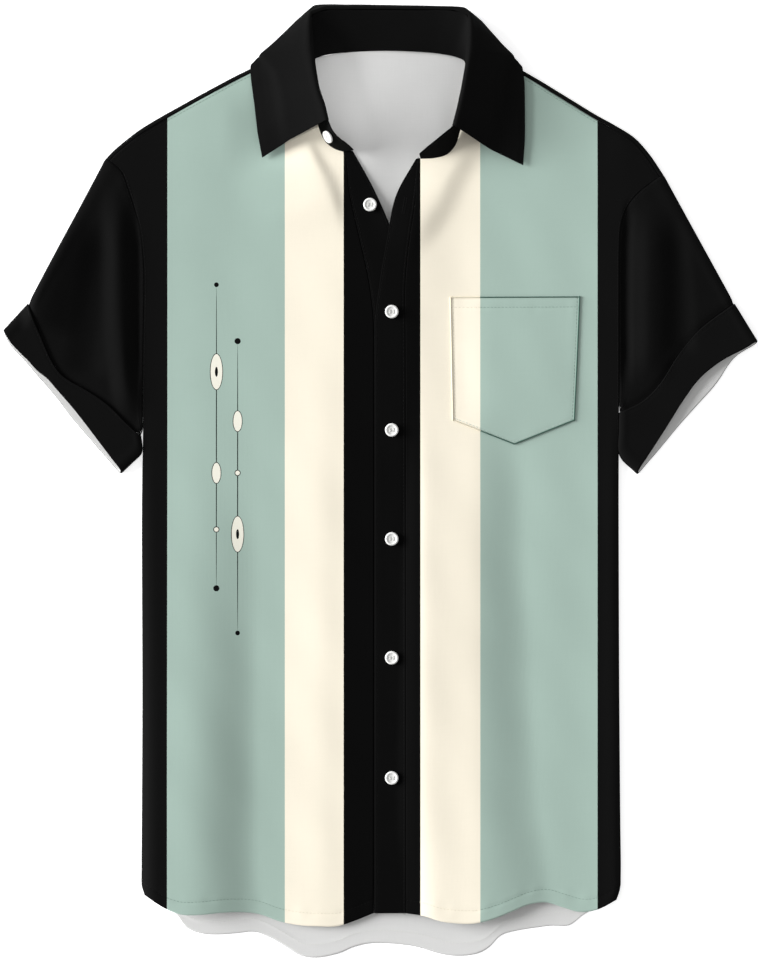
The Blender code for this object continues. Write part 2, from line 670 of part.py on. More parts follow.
def main():
    """Build every piece of the shirt."""
    clear_scene()
    back()
    front("front_right", -1, upper, STITCH_RIGHT, NECK_RIGHT, SHOULDER_RIGHT, SEAT_RIGHT,
          HEM_RIGHT)
    front("front_left", 1, upper_left, STITCH_LEFT, NECK_LEFT, SHOULDER_LEFT, SEAT_LEFT,
          HEM_LEFT)
    band("placket_under", upper, STITCH_RIGHT, EDGE_RIGHT)
    band("placket_top", upper_left, EDGE_LEFT, STITCH_LEFT)
    sleeve("sleeve_right", -1, ARM_RIGHT, CUFF_RIGHT_SEAM)
    sleeve("sleeve_left", 1, ARM_LEFT, CUFF_LEFT_SEAM)
    cuff("cuff_right", -1, CUFF_RIGHT_SEAM, CUFF_RIGHT_TOP, CUFF_RIGHT_LOW, CUFF_RIGHT_TURN)
    cuff("cuff_left", 1, CUFF_LEFT_SEAM, CUFF_LEFT_TOP, CUFF_LEFT_LOW, CUFF_LEFT_TURN)
    stand()
    leaf()
    pocket()
    buttons()


main()
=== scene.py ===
"""Looks of a short-sleeved bowling shirt, laid flat on its back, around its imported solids.

Tables hold millimetres and every mesh is in metres. +Z is up from the surface, +Y runs from
hem to collar and +X is the wearer's left. Each cut piece of cloth is a thin wall round a grid
of middle points, laid on the same outlines as its solid.
"""
from __future__ import annotations

import logging
import math
from dataclasses import dataclass
from enum import Enum
from typing import Callable, Sequence

import bpy
import numpy as np
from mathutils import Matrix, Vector


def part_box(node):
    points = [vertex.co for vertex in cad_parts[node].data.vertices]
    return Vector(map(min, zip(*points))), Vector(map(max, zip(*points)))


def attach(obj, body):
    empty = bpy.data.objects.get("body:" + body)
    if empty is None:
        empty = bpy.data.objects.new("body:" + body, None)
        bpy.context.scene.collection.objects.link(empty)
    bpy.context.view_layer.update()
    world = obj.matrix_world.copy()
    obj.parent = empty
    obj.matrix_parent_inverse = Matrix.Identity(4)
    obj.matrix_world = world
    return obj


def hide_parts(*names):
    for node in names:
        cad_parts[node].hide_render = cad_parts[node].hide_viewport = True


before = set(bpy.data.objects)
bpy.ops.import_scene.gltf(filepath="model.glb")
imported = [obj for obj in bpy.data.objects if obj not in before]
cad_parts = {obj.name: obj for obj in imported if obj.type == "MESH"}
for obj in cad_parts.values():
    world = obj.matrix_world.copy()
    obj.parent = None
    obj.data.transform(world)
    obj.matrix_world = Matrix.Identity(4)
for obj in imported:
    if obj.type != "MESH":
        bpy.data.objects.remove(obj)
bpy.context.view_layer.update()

LOG = logging.getLogger("bowling_shirt")
MM = 0.001
TINY = 1e-9          # keeps a division from zero
Rows = Sequence[Sequence[float]]
Relief = Callable[[np.ndarray, np.ndarray], np.ndarray]

# Layers of the laid garment: the same stack as the solids have.
CLOTH = 0.8          # wall of the poplin with its seam allowances
CUFF_CLOTH = 2.0     # turned-up cuff, two layers
CUFF_WALL = 2.4      # wall of the cuffs' solids
CUFF_RISE = 0.5      # fullness of a cuff's upper layer
SOLID_WALL = 1.2     # wall of the solids, which the outlines are set in by
LOFT = 4.2           # upper layer above the lower one
UPPER = 4.8          # middle of the upper layer
SEAM = 0.3           # between pieces that are sewn together; their rounded edges close it
SIDE_GAP = 0.75      # between back and front at the side seam, one above the other
CUFF_GAP = 0.35      # between sleeve and cuff
OVERLAP = 1.65       # rise of the left front where it lies on the right front's band
OVERLAP_END = 76     # X at which that rise has died out
OVERLAP_RUN = 52     # distance over which it does
OVERLAP_TOP = 256    # the same at the neck, in Y
OVERLAP_TOP_RUN = 26
ROLL = (LOFT - SIDE_GAP) / 2   # radius of the side seam's roll
SHOULDER = LOFT / 2            # radius of the shoulder's fold
BACK_LIP = 1.0       # flat strip of the back past its fold, up to the shoulder seam
BACK_FADE = 0.1      # rise of the back's edges over which its creases die out
BAND_LAP = 0.36      # a front's edge, short of the line where its band is sewn on
POCKET_CLOTH = 0.5
POCKET_LIFT = 0.78   # middle of the pocket above the middle of the front
LEAF_GAP = 1.0       # between the stand's top edge and the leaf
SLIT_SIDE = 0.85     # from a buttonhole's slit to the row of stitches beside it

# Steps of the coarse grids: up a side with its hem corner, up an armhole and a neck edge, then
# along a shoulder, the collar's seat and the back of the neck, and round a side and a shoulder.
SIDE_ROWS, CORNER_ROWS, ARM_ROWS, NECK_ROWS = 12, 2, 14, 7
SHOULDER_COLS, SEAT_COLS, NECK_COLS, STRIP_COLS, FOLD_STEPS = 9, 3, 5, 3, 5
CURVE_STEPS = 24     # straight bits that a smooth line has between two of its points
CREST_STEPS = 20     # straight bits along the crest of a fold

# Outline curves, each row (x, y), from the hem upwards or from the outside inwards.
SIDE_RIGHT = ((-200.8, -353.6), (-202.7, -347.5), (-203, -335), (-202.3, -187), (-202.7, -34),
              (-201.3, 42))
ARM_RIGHT = ((-201.3, 42), (-201, 106), (-200, 171), (-202, 201), (-205, 221), (-210, 236),
             (-217, 258), (-224, 268), (-233, 274))
SIDE_LEFT = ((201.6, -358.2), (204.3, -350.5), (205, -335), (203.8, -187), (203.2, -34), (203, 61))
ARM_LEFT = ((203, 61), (203, 106), (203, 153), (203.5, 204), (206.5, 225), (217, 242),
            (229, 252), (241, 260))
SHOULDER_RIGHT = ((-233, 274), (-210, 294), (-181, 312), (-110, 350), (-82, 356.5))
SHOULDER_LEFT = ((241, 260), (231, 275), (224, 283), (212, 295), (185, 310), (122, 348),
                 (98, 356.5))
SEAT_RIGHT = ((-82, 356.5), (-62, 358))
SEAT_LEFT = ((98, 356.5), (78, 359.5))
NECK_BACK = ((-62, 358), (-42, 362), (8, 366), (57, 363), (78, 359.5))
HEM_RIGHT = ((-200.8, -353.6), (-190, -360.2), (-180, -365.8), (-166, -369), (-148, -368),
             (-128, -366), (-107, -367), (-92, -371), (-81, -375), (-57, -377), (-31, -376),
             (-16, -369), (-5, -365))
HEM_LEFT = ((22, -368), (34, -369), (42, -372), (60, -376), (85, -376), (107, -369),
            (124, -362), (139, -359), (154, -362), (165, -367), (184, -366.5), (201.6, -358.2))
HEM_BACK = ((-200.8, -353.6), (-190, -359.5), (-178, -366), (-170, -378), (-157, -385.5),
            (-133, -387), (-106, -385), (-85, -395), (-65, -406), (-42, -405), (-12, -395),
            (26, -396.5), (60, -405), (88, -402), (106, -387), (144, -380), (162, -379.5),
            (171, -375), (178, -367), (188, -363.5), (201.6, -358.2))
NECK_RIGHT = ((-62, 355), (-57, 341), (-54.5, 325), (-52, 310), (-50, 300), (-45.5, 290.5),
              (-40, 285.2), (-31.5, 281))
STITCH_RIGHT = ((-5, -368), (-5, -343), (-5, 100), (-8, 160), (-16, 200), (-24, 235), (-29, 262),
                (-31.5, 281))
EDGE_RIGHT = ((23, -368), (23, -343), (23, 100), (22, 153), (17, 196), (8, 216), (-9.5, 257),
              (-13.5, 267), (-18.5, 275), (-23, 279.5))
NECK_LEFT = ((78, 356), (72.5, 335), (69, 312), (66.3, 294), (62.5, 284.5), (56, 276.8),
             (47.5, 274.2), (34, 273.5))
STITCH_LEFT = ((22, -368), (22, -343), (21.5, 100), (21, 160), (24, 196), (28, 227), (32, 250),
               (34, 273.5))
EDGE_LEFT = ((-4, -368), (-4, -343), (-4, 100), (-3, 154), (1, 173), (8, 216), (11.5, 232),
             (15, 247), (19.5, 260.5), (25, 268), (30.5, 272.8))
CUFF_RIGHT_SEAM = ((-299, 150), (-293, 134), (-280, 103), (-269, 88), (-247, 75), (-230, 63),
                   (-216, 49), (-203, 37))
CUFF_RIGHT_TOP = ((-320, 128), (-313, 116), (-300, 103), (-289, 91), (-281, 85), (-272, 74),
                  (-258, 58), (-219, 7))
CUFF_RIGHT_LOW = ((-320, 127), (-314, 115), (-302, 102), (-291, 89), (-283, 80), (-273, 68),
                  (-260, 51), (-220, 5))
CUFF_RIGHT_TURN = ((-204, 37), (-202.4, 29), (-202.3, 22), (-209, 14), (-217, 5))
CUFF_LEFT_SEAM = ((301.5, 150), (279, 134), (266, 122), (252, 104), (238, 82), (223, 67),
                  (203, 57))
CUFF_LEFT_TOP = ((321, 119), (310, 112), (299, 106.5), (287, 99.5), (271, 86), (257, 67),
                 (242, 43), (219, 8))
CUFF_LEFT_LOW = ((321, 117), (310, 110.5), (299, 102), (286, 82.5), (270, 64.5),
                 (254, 46.5), (240, 29.5), (218, 4))
CUFF_LEFT_TURN = ((202.2, 57), (201.2, 40), (200.8, 20), (214.5, 4.5))

# Collar, one row a section from the wearer's right end round the back to the left end.
STAND = (
    # foot x, y, z, top x, y, z
    (-30, 279.2, 6.5, -22.5, 280.2, 12), (-36.5, 280.8, 6.5, -28, 285, 18),
    (-42.5, 284.2, 6.5, -34, 289, 23), (-47, 289, 6.5, -39, 294, 25.5),
    (-52, 300.5, 6.5, -44, 304.5, 26), (-53.5, 313, 6.5, -46.8, 316.5, 26),
    (-55, 327, 6.5, -51.5, 331, 26), (-56.5, 341, 6.5, -54.3, 347, 25),
    (-57.5, 349, 6.5, -56, 362, 23), (-57.5, 354, 5.9, -57, 372.5, 21),
    (-56, 357.5, 5.2, -57.5, 382, 19), (-48, 361, 3.2, -57.3, 393.5, 15.5),
    (-36, 363, 2.3, -46, 398.2, 12.5), (-14, 364.7, 2.2, -19, 398.8, 10),
    (8, 365.2, 2.2, 8, 398.8, 9.5), (30, 364.5, 2.2, 35, 398.6, 10),
    (52, 362.5, 2.3, 62, 397.8, 12.5), (64, 360, 3.2, 74.2, 393.5, 15.5),
    (71.5, 356.5, 5.2, 74.8, 382.5, 19), (73, 353, 5.9, 74.4, 373, 21),
    (73.8, 348, 6.5, 73.6, 363, 23), (73, 341, 6.5, 72, 349, 25),
    (71.5, 327, 6.5, 69, 331.5, 26), (69.8, 310, 6.5, 65.6, 315, 26),
    (67.3, 295, 6.5, 61.6, 299.5, 26), (64, 285, 6.5, 55, 293.8, 25.5),
    (57.5, 276.5, 6.5, 48, 288.3, 23), (47, 273.2, 6.5, 40.5, 282.6, 18),
    (34.5, 273, 6.5, 33.5, 277, 12),
)
FIRST_LEAF = 4       # section of the stand where the leaf begins
LEAF = (
    # turn x, y, z, edge x, y, z
    (-76, 289, 15, -100, 274, 7.0), (-80, 309, 18, -104, 296, 7.0),
    (-83, 328, 19, -106.5, 318, 7.0), (-88, 347, 18, -109.5, 340, 7.2),
    (-99.5, 361.8, 12.5, -109.6, 352.3, 7.2), (-93.5, 367.6, 10.5, -100.5, 358, 5.6),
    (-87, 374.2, 9, -90, 361, 3.8), (-73, 388, 7, -67, 364, 1.2),
    (-56.5, 402.6, 6, -49, 366.5, 0.7), (-26, 403.4, 5, -25, 369, 0.6),
    (8, 403.2, 5, 8, 370, 0.6), (36, 402.6, 5, 38, 369, 0.6),
    (72.5, 400.6, 6, 64, 367, 0.7), (87, 388.6, 7, 81, 364.5, 1.2),
    (100, 374.3, 9, 101, 361.5, 3.8), (105.5, 367.9, 10.5, 111, 357.5, 5.6),
    (111.5, 361, 12.5, 120.5, 351, 7.2), (100, 348, 18, 122.6, 338, 7.2),
    (98, 329, 19, 123, 314, 7.0), (97, 309, 18, 123, 291, 7.0),
    (92, 281.5, 15, 121.5, 267.5, 7.0),
)
POCKET_MOUTH = ((60, 155), (115, 155.3), (169.6, 155.6))
POCKET_SIDE_IN = ((62, 51), (61, 104), (60, 155))
POCKET_SIDE_OUT = ((165, 51), (167.5, 104), (169.6, 155.6))
POCKET_POINT = (114, 30.6)

# Stripes of the fronts and the pocket, from this x on to the wearer's left: printed, except that
# the middle band's darker black is painted shade down the button bands.
MINT, CREAM, BLACK, PAINTED_SHADE_BLACK = "#A8BEB4", "#FCF4E1", "#0F0F0F", "#080808"
STRIPES = ((-250, BLACK), (-180.7, MINT), (-80.9, CREAM), (-30.9, PAINTED_SHADE_BLACK), (34.3, CREAM),
           (85.2, MINT), (184.9, BLACK))

# Buttons that lie flat, as (x, y): five down the bands and the one at the neck.
BAND_BUTTONS = {"button_1": (10, 143), "button_2": (10, 42.5), "button_3": (10, -50),
                "button_4": (10, -151), "button_5": (10, -253)}
NECK_BUTTON = {"button_neck": (-8.5, 234)}


# ---------------------------------------------------------------- lines and grids


def smooth(value: np.ndarray | float) -> np.ndarray:
    """Ramp from 0 to 1 with level ends."""
    value = np.clip(value, 0.0, 1.0)
    return value * value * (3 - 2 * value)


def late_ramp(count: int, start: float) -> np.ndarray:
    """Shares for count + 1 points in a row: 0 up to the start, then a ramp to 1."""
    return smooth((np.arange(count + 1) / count - start) / (1 - start))


def between(a: np.ndarray, b: np.ndarray, c: np.ndarray, d: np.ndarray,
            t: np.ndarray) -> np.ndarray:
    """Point of a smooth line between b and c, which passes through all four."""
    return 0.5 * (2 * b + (c - a) * t + (2 * a - 5 * b + 4 * c - d) * t ** 2
                  + (3 * b - a - 3 * c + d) * t ** 3)


def travelled(points: np.ndarray, axis: int = 0) -> np.ndarray:
    """Distance from the first point of a line, or from a grid's first line, along an axis."""
    gap = np.linalg.norm(np.diff(points, axis=axis), axis=-1)
    zero = np.zeros_like(np.take(gap, [0], axis))
    return np.concatenate([zero, np.cumsum(gap, axis)], axis)


def walked(table: Rows, count: int) -> np.ndarray:
    """Points spaced evenly along a smooth line.

    Args:
        table: Points that the line passes through.
        count: Number of equal steps.

    Returns:
        An array of count + 1 points.
    """
    knots = np.asarray(table, float)
    ends = np.vstack([2 * knots[0] - knots[1], knots, 2 * knots[-1] - knots[-2]])
    share = np.linspace(0, 1, CURVE_STEPS + 1)[1:, None]
    line = np.vstack([knots[:1]] + [between(*ends[k:k + 4], share)
                                    for k in range(len(knots) - 1)])
    reach = travelled(line)
    goals = np.linspace(0, reach[-1], count + 1)
    return np.column_stack([np.interp(goals, reach, column) for column in line.T])


def chain(*parts: tuple[Rows, int]) -> np.ndarray:
    """Joined lines, each given as a table and its count of steps."""
    runs = [walked(table, count) for table, count in parts]
    return np.vstack([runs[0]] + [run[1:] for run in runs[1:]])


def band_line(table: Rows) -> np.ndarray:
    """Edge of a button band, on the rows of its front."""
    return chain((table[:2], CORNER_ROWS),
                 (table[1:], SIDE_ROWS + ARM_ROWS - NECK_ROWS - CORNER_ROWS))


def outward(points: np.ndarray, side: int) -> np.ndarray:
    """Unit vectors in plan to one side of a run of points: +1 right, -1 left."""
    count = len(points)
    after = points[np.minimum(np.arange(count) + 1, count - 1)]
    before = points[np.maximum(np.arange(count) - 1, 0)]
    along = after - before
    normal = np.column_stack([along[:, 1], -along[:, 0]])
    return side * normal / np.linalg.norm(normal, axis=1)[:, None]


def shifted(points: np.ndarray, side: int, distance: np.ndarray | float) -> np.ndarray:
    """A run of points in plan, moved sideways by one distance or one a point."""
    reach = np.broadcast_to(np.asarray(distance, float), (len(points),))
    return points[:, :2] + outward(points, side) * reach[:, None]


def snapped(points: np.ndarray, first: np.ndarray, last: np.ndarray) -> np.ndarray:
    """A run of points whose ends move to two corners, and the rest in proportion."""
    share = np.linspace(0, 1, len(points))[:, None]
    return points + (first - points[0]) * (1 - share) + (last - points[-1]) * share


def inner_corner(point: np.ndarray, side: np.ndarray, side_gap: float, top: np.ndarray,
                 top_gap: float) -> np.ndarray:
    """Point inside a corner, by one distance from each of its two edges.

    Args:
        point: The corner.
        side: Outward unit vector of the first edge.
        side_gap: Distance from the first edge.
        top: Outward unit vector of the second edge.
        top_gap: Distance from the second edge.

    Returns:
        The point in plan.
    """
    return point + np.linalg.solve(np.array([side, top]), [-side_gap, -top_gap])


def patch(low: np.ndarray, top: np.ndarray, left: np.ndarray, right: np.ndarray) -> np.ndarray:
    """Grid of plan points between four edge lines that share their corners."""
    u = np.linspace(0, 1, len(low))[None, :, None]
    v = np.linspace(0, 1, len(left))[:, None, None]
    corners = ((low[0] * (1 - u) + low[-1] * u) * (1 - v) + (top[0] * (1 - u) + top[-1] * u) * v)
    return (low[None] * (1 - v) + top[None] * v + left[:, None] * (1 - u)
            + right[:, None] * u - corners)


def lifted(plan: np.ndarray, height: float) -> np.ndarray:
    """Grid of plan points at one height."""
    return np.concatenate([plan, np.full(plan.shape[:2] + (1,), height)], axis=2)


def steps(*runs: tuple[float, float, int]) -> np.ndarray:
    """Places of grid lines, in the coarse grid's count, from runs of (first, last, steps)."""
    parts = [np.linspace(first, last, count + 1) for first, last, count in runs]
    return np.concatenate([parts[0]] + [part[1:] for part in parts[1:]])


def refined(grid: np.ndarray, row_places: np.ndarray, column_places: np.ndarray,
            ring: bool = False, tight: tuple[float, float] = (0.0, 0.0)) -> np.ndarray:
    """Smooth surface through a coarse grid, at places between its rows and columns.

    Args:
        grid: Coarse grid of points.
        row_places: Places along the first axis, in its count.
        column_places: Places along the second axis.
        ring: Whether the last column joins the first.
        tight: How straight the runs between rows and between columns are, up to 1.

    Returns:
        The fine grid.
    """
    def run(values: np.ndarray, places: np.ndarray, closed: bool, pull: float) -> np.ndarray:
        """Values at places along the first axis, through knots spaced as they lie."""
        if closed:
            values = np.concatenate([values[-2:], values, values[:3]])
            places = places + 2
        gap = np.linalg.norm(np.diff(values, axis=0), axis=2).mean(axis=1)[:, None, None]
        slope = np.diff(values, axis=0) / gap
        inner = (slope[:-1] * gap[1:] + slope[1:] * gap[:-1]) / (gap[:-1] + gap[1:])
        slope = np.concatenate([slope[:1], inner, slope[-1:]]) * (1 - pull)
        k = np.clip(np.floor(places).astype(int), 0, len(values) - 2)
        t = (places - k)[:, None, None]
        return (values[k] * (2 * t ** 3 - 3 * t ** 2 + 1)
                + values[k + 1] * (3 * t ** 2 - 2 * t ** 3)
                + slope[k] * gap[k] * (t ** 3 - 2 * t ** 2 + t)
                + slope[k + 1] * gap[k] * (t ** 3 - t ** 2))

    rows = run(grid, row_places, False, tight[0])
    return run(rows.swapaxes(0, 1), column_places, ring, tight[1]).swapaxes(0, 1)


# ---------------------------------------------------------------- folds of the upper layer


class Flank(Enum):
    """How late a fold falls away to the left and to the right of its line."""

    ROUND = (1.0, 1.0)
    LEANING = (1.8, 1.85)
    STEP = (2.4, 1.6)


@dataclass(frozen=True)
class Fold:
    """A soft ridge along a bent line, or a trough where its height is below zero."""

    line: Rows
    left: float                  # half width to the left of the line's direction
    right: float
    height: float
    rise: float = 0.3            # share of the line over which it grows
    fall: float = 0.3
    widen: tuple[float, float] = (0.0, 0.0)  # growth of the two widths along the line
    flank: Flank = Flank.ROUND

    def at(self, x: np.ndarray, y: np.ndarray) -> np.ndarray:
        """Height that the fold adds at places in plan."""
        path = walked(self.line, CREST_STEPS)
        out = np.zeros(x.shape)
        reach = max(self.left, self.right) * (1 + max(0.0, *self.widen))
        near = ((x > path[:, 0].min() - reach) & (x < path[:, 0].max() + reach)
                & (y > path[:, 1].min() - reach) & (y < path[:, 1].max() + reach))
        if not near.any():
            return out
        places = np.column_stack([x[near], y[near]])
        best = np.full(len(places), np.inf)
        side, share = np.zeros(len(places)), np.zeros(len(places))
        for k, (a, b) in enumerate(zip(path, path[1:])):
            along = b - a
            t = np.clip((places - a) @ along / (along @ along), 0, 1)
            gap = places - a - t[:, None] * along
            length = np.linalg.norm(gap, axis=1)
            closer = length < best
            best = np.where(closer, length, best)
            side = np.where(closer, along[0] * gap[:, 1] - along[1] * gap[:, 0], side)
            share = np.where(closer, (k + t) / CREST_STEPS, share)
        half = np.where(side > 0, self.left * (1 + self.widen[0] * share),
                        self.right * (1 + self.widen[1] * share))
        away = np.clip(best / half, 0, 1)
        form = np.cos(away ** np.where(side > 0, *self.flank.value) * math.pi / 2) ** 2
        ends = smooth(share / max(self.rise, TINY)) * smooth((1 - share) / max(self.fall, TINY))
        out[near] = self.height * form * ends
        return out


# Steps of the body: each runs up from the hem and falls to the wearer's left.
BODY_FOLDS = (
    Fold(((-184, -420), (-184, -200), (-182, 95)), 22, 80, 8.7, 0.0, 0.75,
         flank=Flank.LEANING),
    Fold(((82, -420), (72, -331), (63, -272), (56, -136), (52, -68), (48, 90)), 62, 72, 5.9,
         0.0, 0.3, (-0.64, 0.0), Flank.STEP),
    Fold(((-54, -420), (-54, 150)), 40, 24, 0.6, 0.0, 0.3),
)
# Pulls from the collar towards the closure, and a soft hollow beside each of its points.
NECK_FOLDS = (
    Fold(((-73, 304), (-60, 278), (-42, 242), (-36, 208)), 10.5, 75, 2.5, 0.3, 0.35),
    Fold(((80, 302), (66, 276), (55, 256), (46, 237), (36, 222), (22, 206), (8, 194)), 21, 60,
         3.0, 0.3, 0.3),
    Fold(((-95, 340), (-95, 300), (-99, 240)), 45, 40, -2.5, 0.35, 0.6),
    Fold(((170, 345), (170, 300), (170, 255)), 40, 52, -2.0, 0.25, 0.4, flank=Flank.LEANING),
)
# Sleeves: ridges, a narrow hollow beside each armhole, and one that widens to each cuff.
SLEEVE_FOLDS = (
    Fold(((-225, 262), (-223, 200), (-221, 130), (-215, 74), (-211, 46)), 15, 16, 4.6, 0.3, 0.16),
    Fold(((-212, 250), (-206, 190), (-207, 64)), 4, 12, -2.9, 0.3, 0.25),
    Fold(((-260, 236), (-282, 180), (-298, 124)), 42, 12, 6.4, 0.35, 0.15),
    Fold(((-237, 228), (-241, 150), (-248, 84)), 13, 18, -2.3, 0.3, 0.1, (0.5, 0.5)),
    Fold(((229, 246), (229, 160), (228, 76)), 25, 18, 4.4, 0.3, 0.2),
    Fold(((250, 226), (256, 160), (257, 104)), 12, 16, -2.2, 0.3, 0.1, (0.25, 0.25)),
    Fold(((213, 244), (208, 200), (208, 70)), 9, 5, -3.2, 0.2, 0.25),
)
FOLDS = BODY_FOLDS + NECK_FOLDS + SLEEVE_FOLDS
# The back: soft creases under the fronts, and one that runs down inside the neck.
BACK_FOLDS = (
    Fold(((-150, -330), (-120, -120), (-128, 60)), 26, 30, 0.9),
    Fold(((40, -380), (20, -200), (44, 20)), 24, 24, 0.8),
    Fold(((150, -300), (128, -60), (140, 160)), 22, 30, 0.9),
    Fold(((-14, 392), (-18, 340), (-23, 290), (-26, 262), (-18, 230), (-6, 190)), 48, 30,
         3.4, 0.35, 0.4),
    Fold(((44, 340), (52, 290), (34, 220)), 12, 12, 0.6),
)


def rumple(x: np.ndarray, y: np.ndarray) -> np.ndarray:
    """Slow unevenness that every layer shares, a fraction of a millimetre high."""
    draw = np.random.default_rng(7)
    out = np.zeros(x.shape)
    for length, size in ((150, 0.16), (95, 0.12), (60, 0.07), (38, 0.04)):
        for _ in range(3):
            turn, phase = draw.uniform(0, math.tau, 2)
            out += size * np.sin((x * math.cos(turn) + 0.6 * y * math.sin(turn))
                                 * math.tau / length + phase)
    return out


def relief(x: np.ndarray, y: np.ndarray) -> np.ndarray:
    """Height that folds and rumples add to the upper layer."""
    return sum((fold.at(x, y) for fold in FOLDS), rumple(x, y))


def left_relief(x: np.ndarray, y: np.ndarray) -> np.ndarray:
    """The same for the left front, which lies on the right front's band."""
    rise = OVERLAP * smooth((OVERLAP_END - x) / OVERLAP_RUN)
    return relief(x, y) + rise * smooth((OVERLAP_TOP - y) / OVERLAP_TOP_RUN)


def back_relief(x: np.ndarray, y: np.ndarray) -> np.ndarray:
    """Creases of the back, which lift it a little off the surface."""
    return sum((fold.at(x, y) for fold in BACK_FOLDS), np.zeros(x.shape))


def raised(grid: np.ndarray, base: float, top: float, height: Relief) -> np.ndarray:
    """A grid with relief, in full on the upper layer and none at the base.

    Args:
        grid: Points of a piece.
        base: Height where the relief has faded out.
        top: Height where it is whole.
        height: Relief at places in plan.

    Returns:
        The grid with its heights changed.
    """
    out = grid.copy()
    weight = np.clip((grid[..., 2] - base) / (top - base), 0, 1)
    out[..., 2] += weight * height(grid[..., 0], grid[..., 1])
    return out


# ---------------------------------------------------------------- finishes


def linear(code: str) -> tuple[float, float, float, float]:
    """Scene colour of an sRGB hex value such as #A0B0C0."""
    parts = [int(code[k:k + 2], 16) / 255 for k in (1, 3, 5)]
    r, g, b = (c / 12.92 if c <= 0.04045 else ((c + 0.055) / 1.055) ** 2.4 for c in parts)
    return r, g, b, 1.0


def feed(tree: bpy.types.NodeTree, node: bpy.types.Node, inputs: dict) -> None:
    """Link each input of a node, by name or number, to an output, or set its plain value."""
    for key, value in inputs.items():
        if isinstance(value, bpy.types.NodeSocket):
            tree.links.new(value, node.inputs[key])
        else:
            node.inputs[key].default_value = value


def add_node(tree: bpy.types.NodeTree, kind: str, inputs: dict | None = None,
             **settings: object) -> bpy.types.Node:
    """Add one node to a tree.

    Args:
        tree: Tree that receives the node.
        kind: Blender's name of the node type.
        inputs: Input socket, by name or number, to an output socket or a plain value.
        settings: Attributes of the node.

    Returns:
        The new node.
    """
    node = tree.nodes.new(kind)
    for name, value in settings.items():
        setattr(node, name, value)
    feed(tree, node, inputs or {})
    return node


@dataclass(frozen=True)
class Finish:
    """What a surface is made of; each kind of finish paints a node tree of its own."""

    name: str

    def material(self) -> bpy.types.Material:
        """The finish as a material, made once."""
        found = bpy.data.materials.get(self.name)
        if found is None:
            found = bpy.data.materials.new(self.name)
            found.use_nodes = True
            self.paint(found.node_tree, found.node_tree.nodes["Principled BSDF"])
        return found

    def paint(self, tree: bpy.types.NodeTree, shader: bpy.types.Node) -> None:
        """Add the finish's nodes to a tree."""
        raise NotImplementedError

    def toned(self, tree: bpy.types.NodeTree, colour: bpy.types.NodeSocket | Sequence[float],
              pattern: bpy.types.NodeSocket, low: float, high: float,
              span: tuple[float, float] = (0.0, 1.0)) -> bpy.types.NodeSocket:
        """Colour made darker and lighter by a pattern.

        Args:
            tree: Tree of the finish.
            colour: The colour, painted or plain.
            pattern: Value that varies over the surface.
            low: Share of the colour where the pattern is at the low end of its span.
            high: Share at the high end.
            span: Values of the pattern that are used.

        Returns:
            The varied colour.
        """
        tone = add_node(tree, "ShaderNodeMapRange", {
            "Value": pattern, "From Min": span[0], "From Max": span[1],
            "To Min": low, "To Max": high})
        scaled = add_node(tree, "ShaderNodeVectorMath", {
            0: colour, "Scale": tone.outputs["Result"]}, operation="SCALE")
        return scaled.outputs["Vector"]


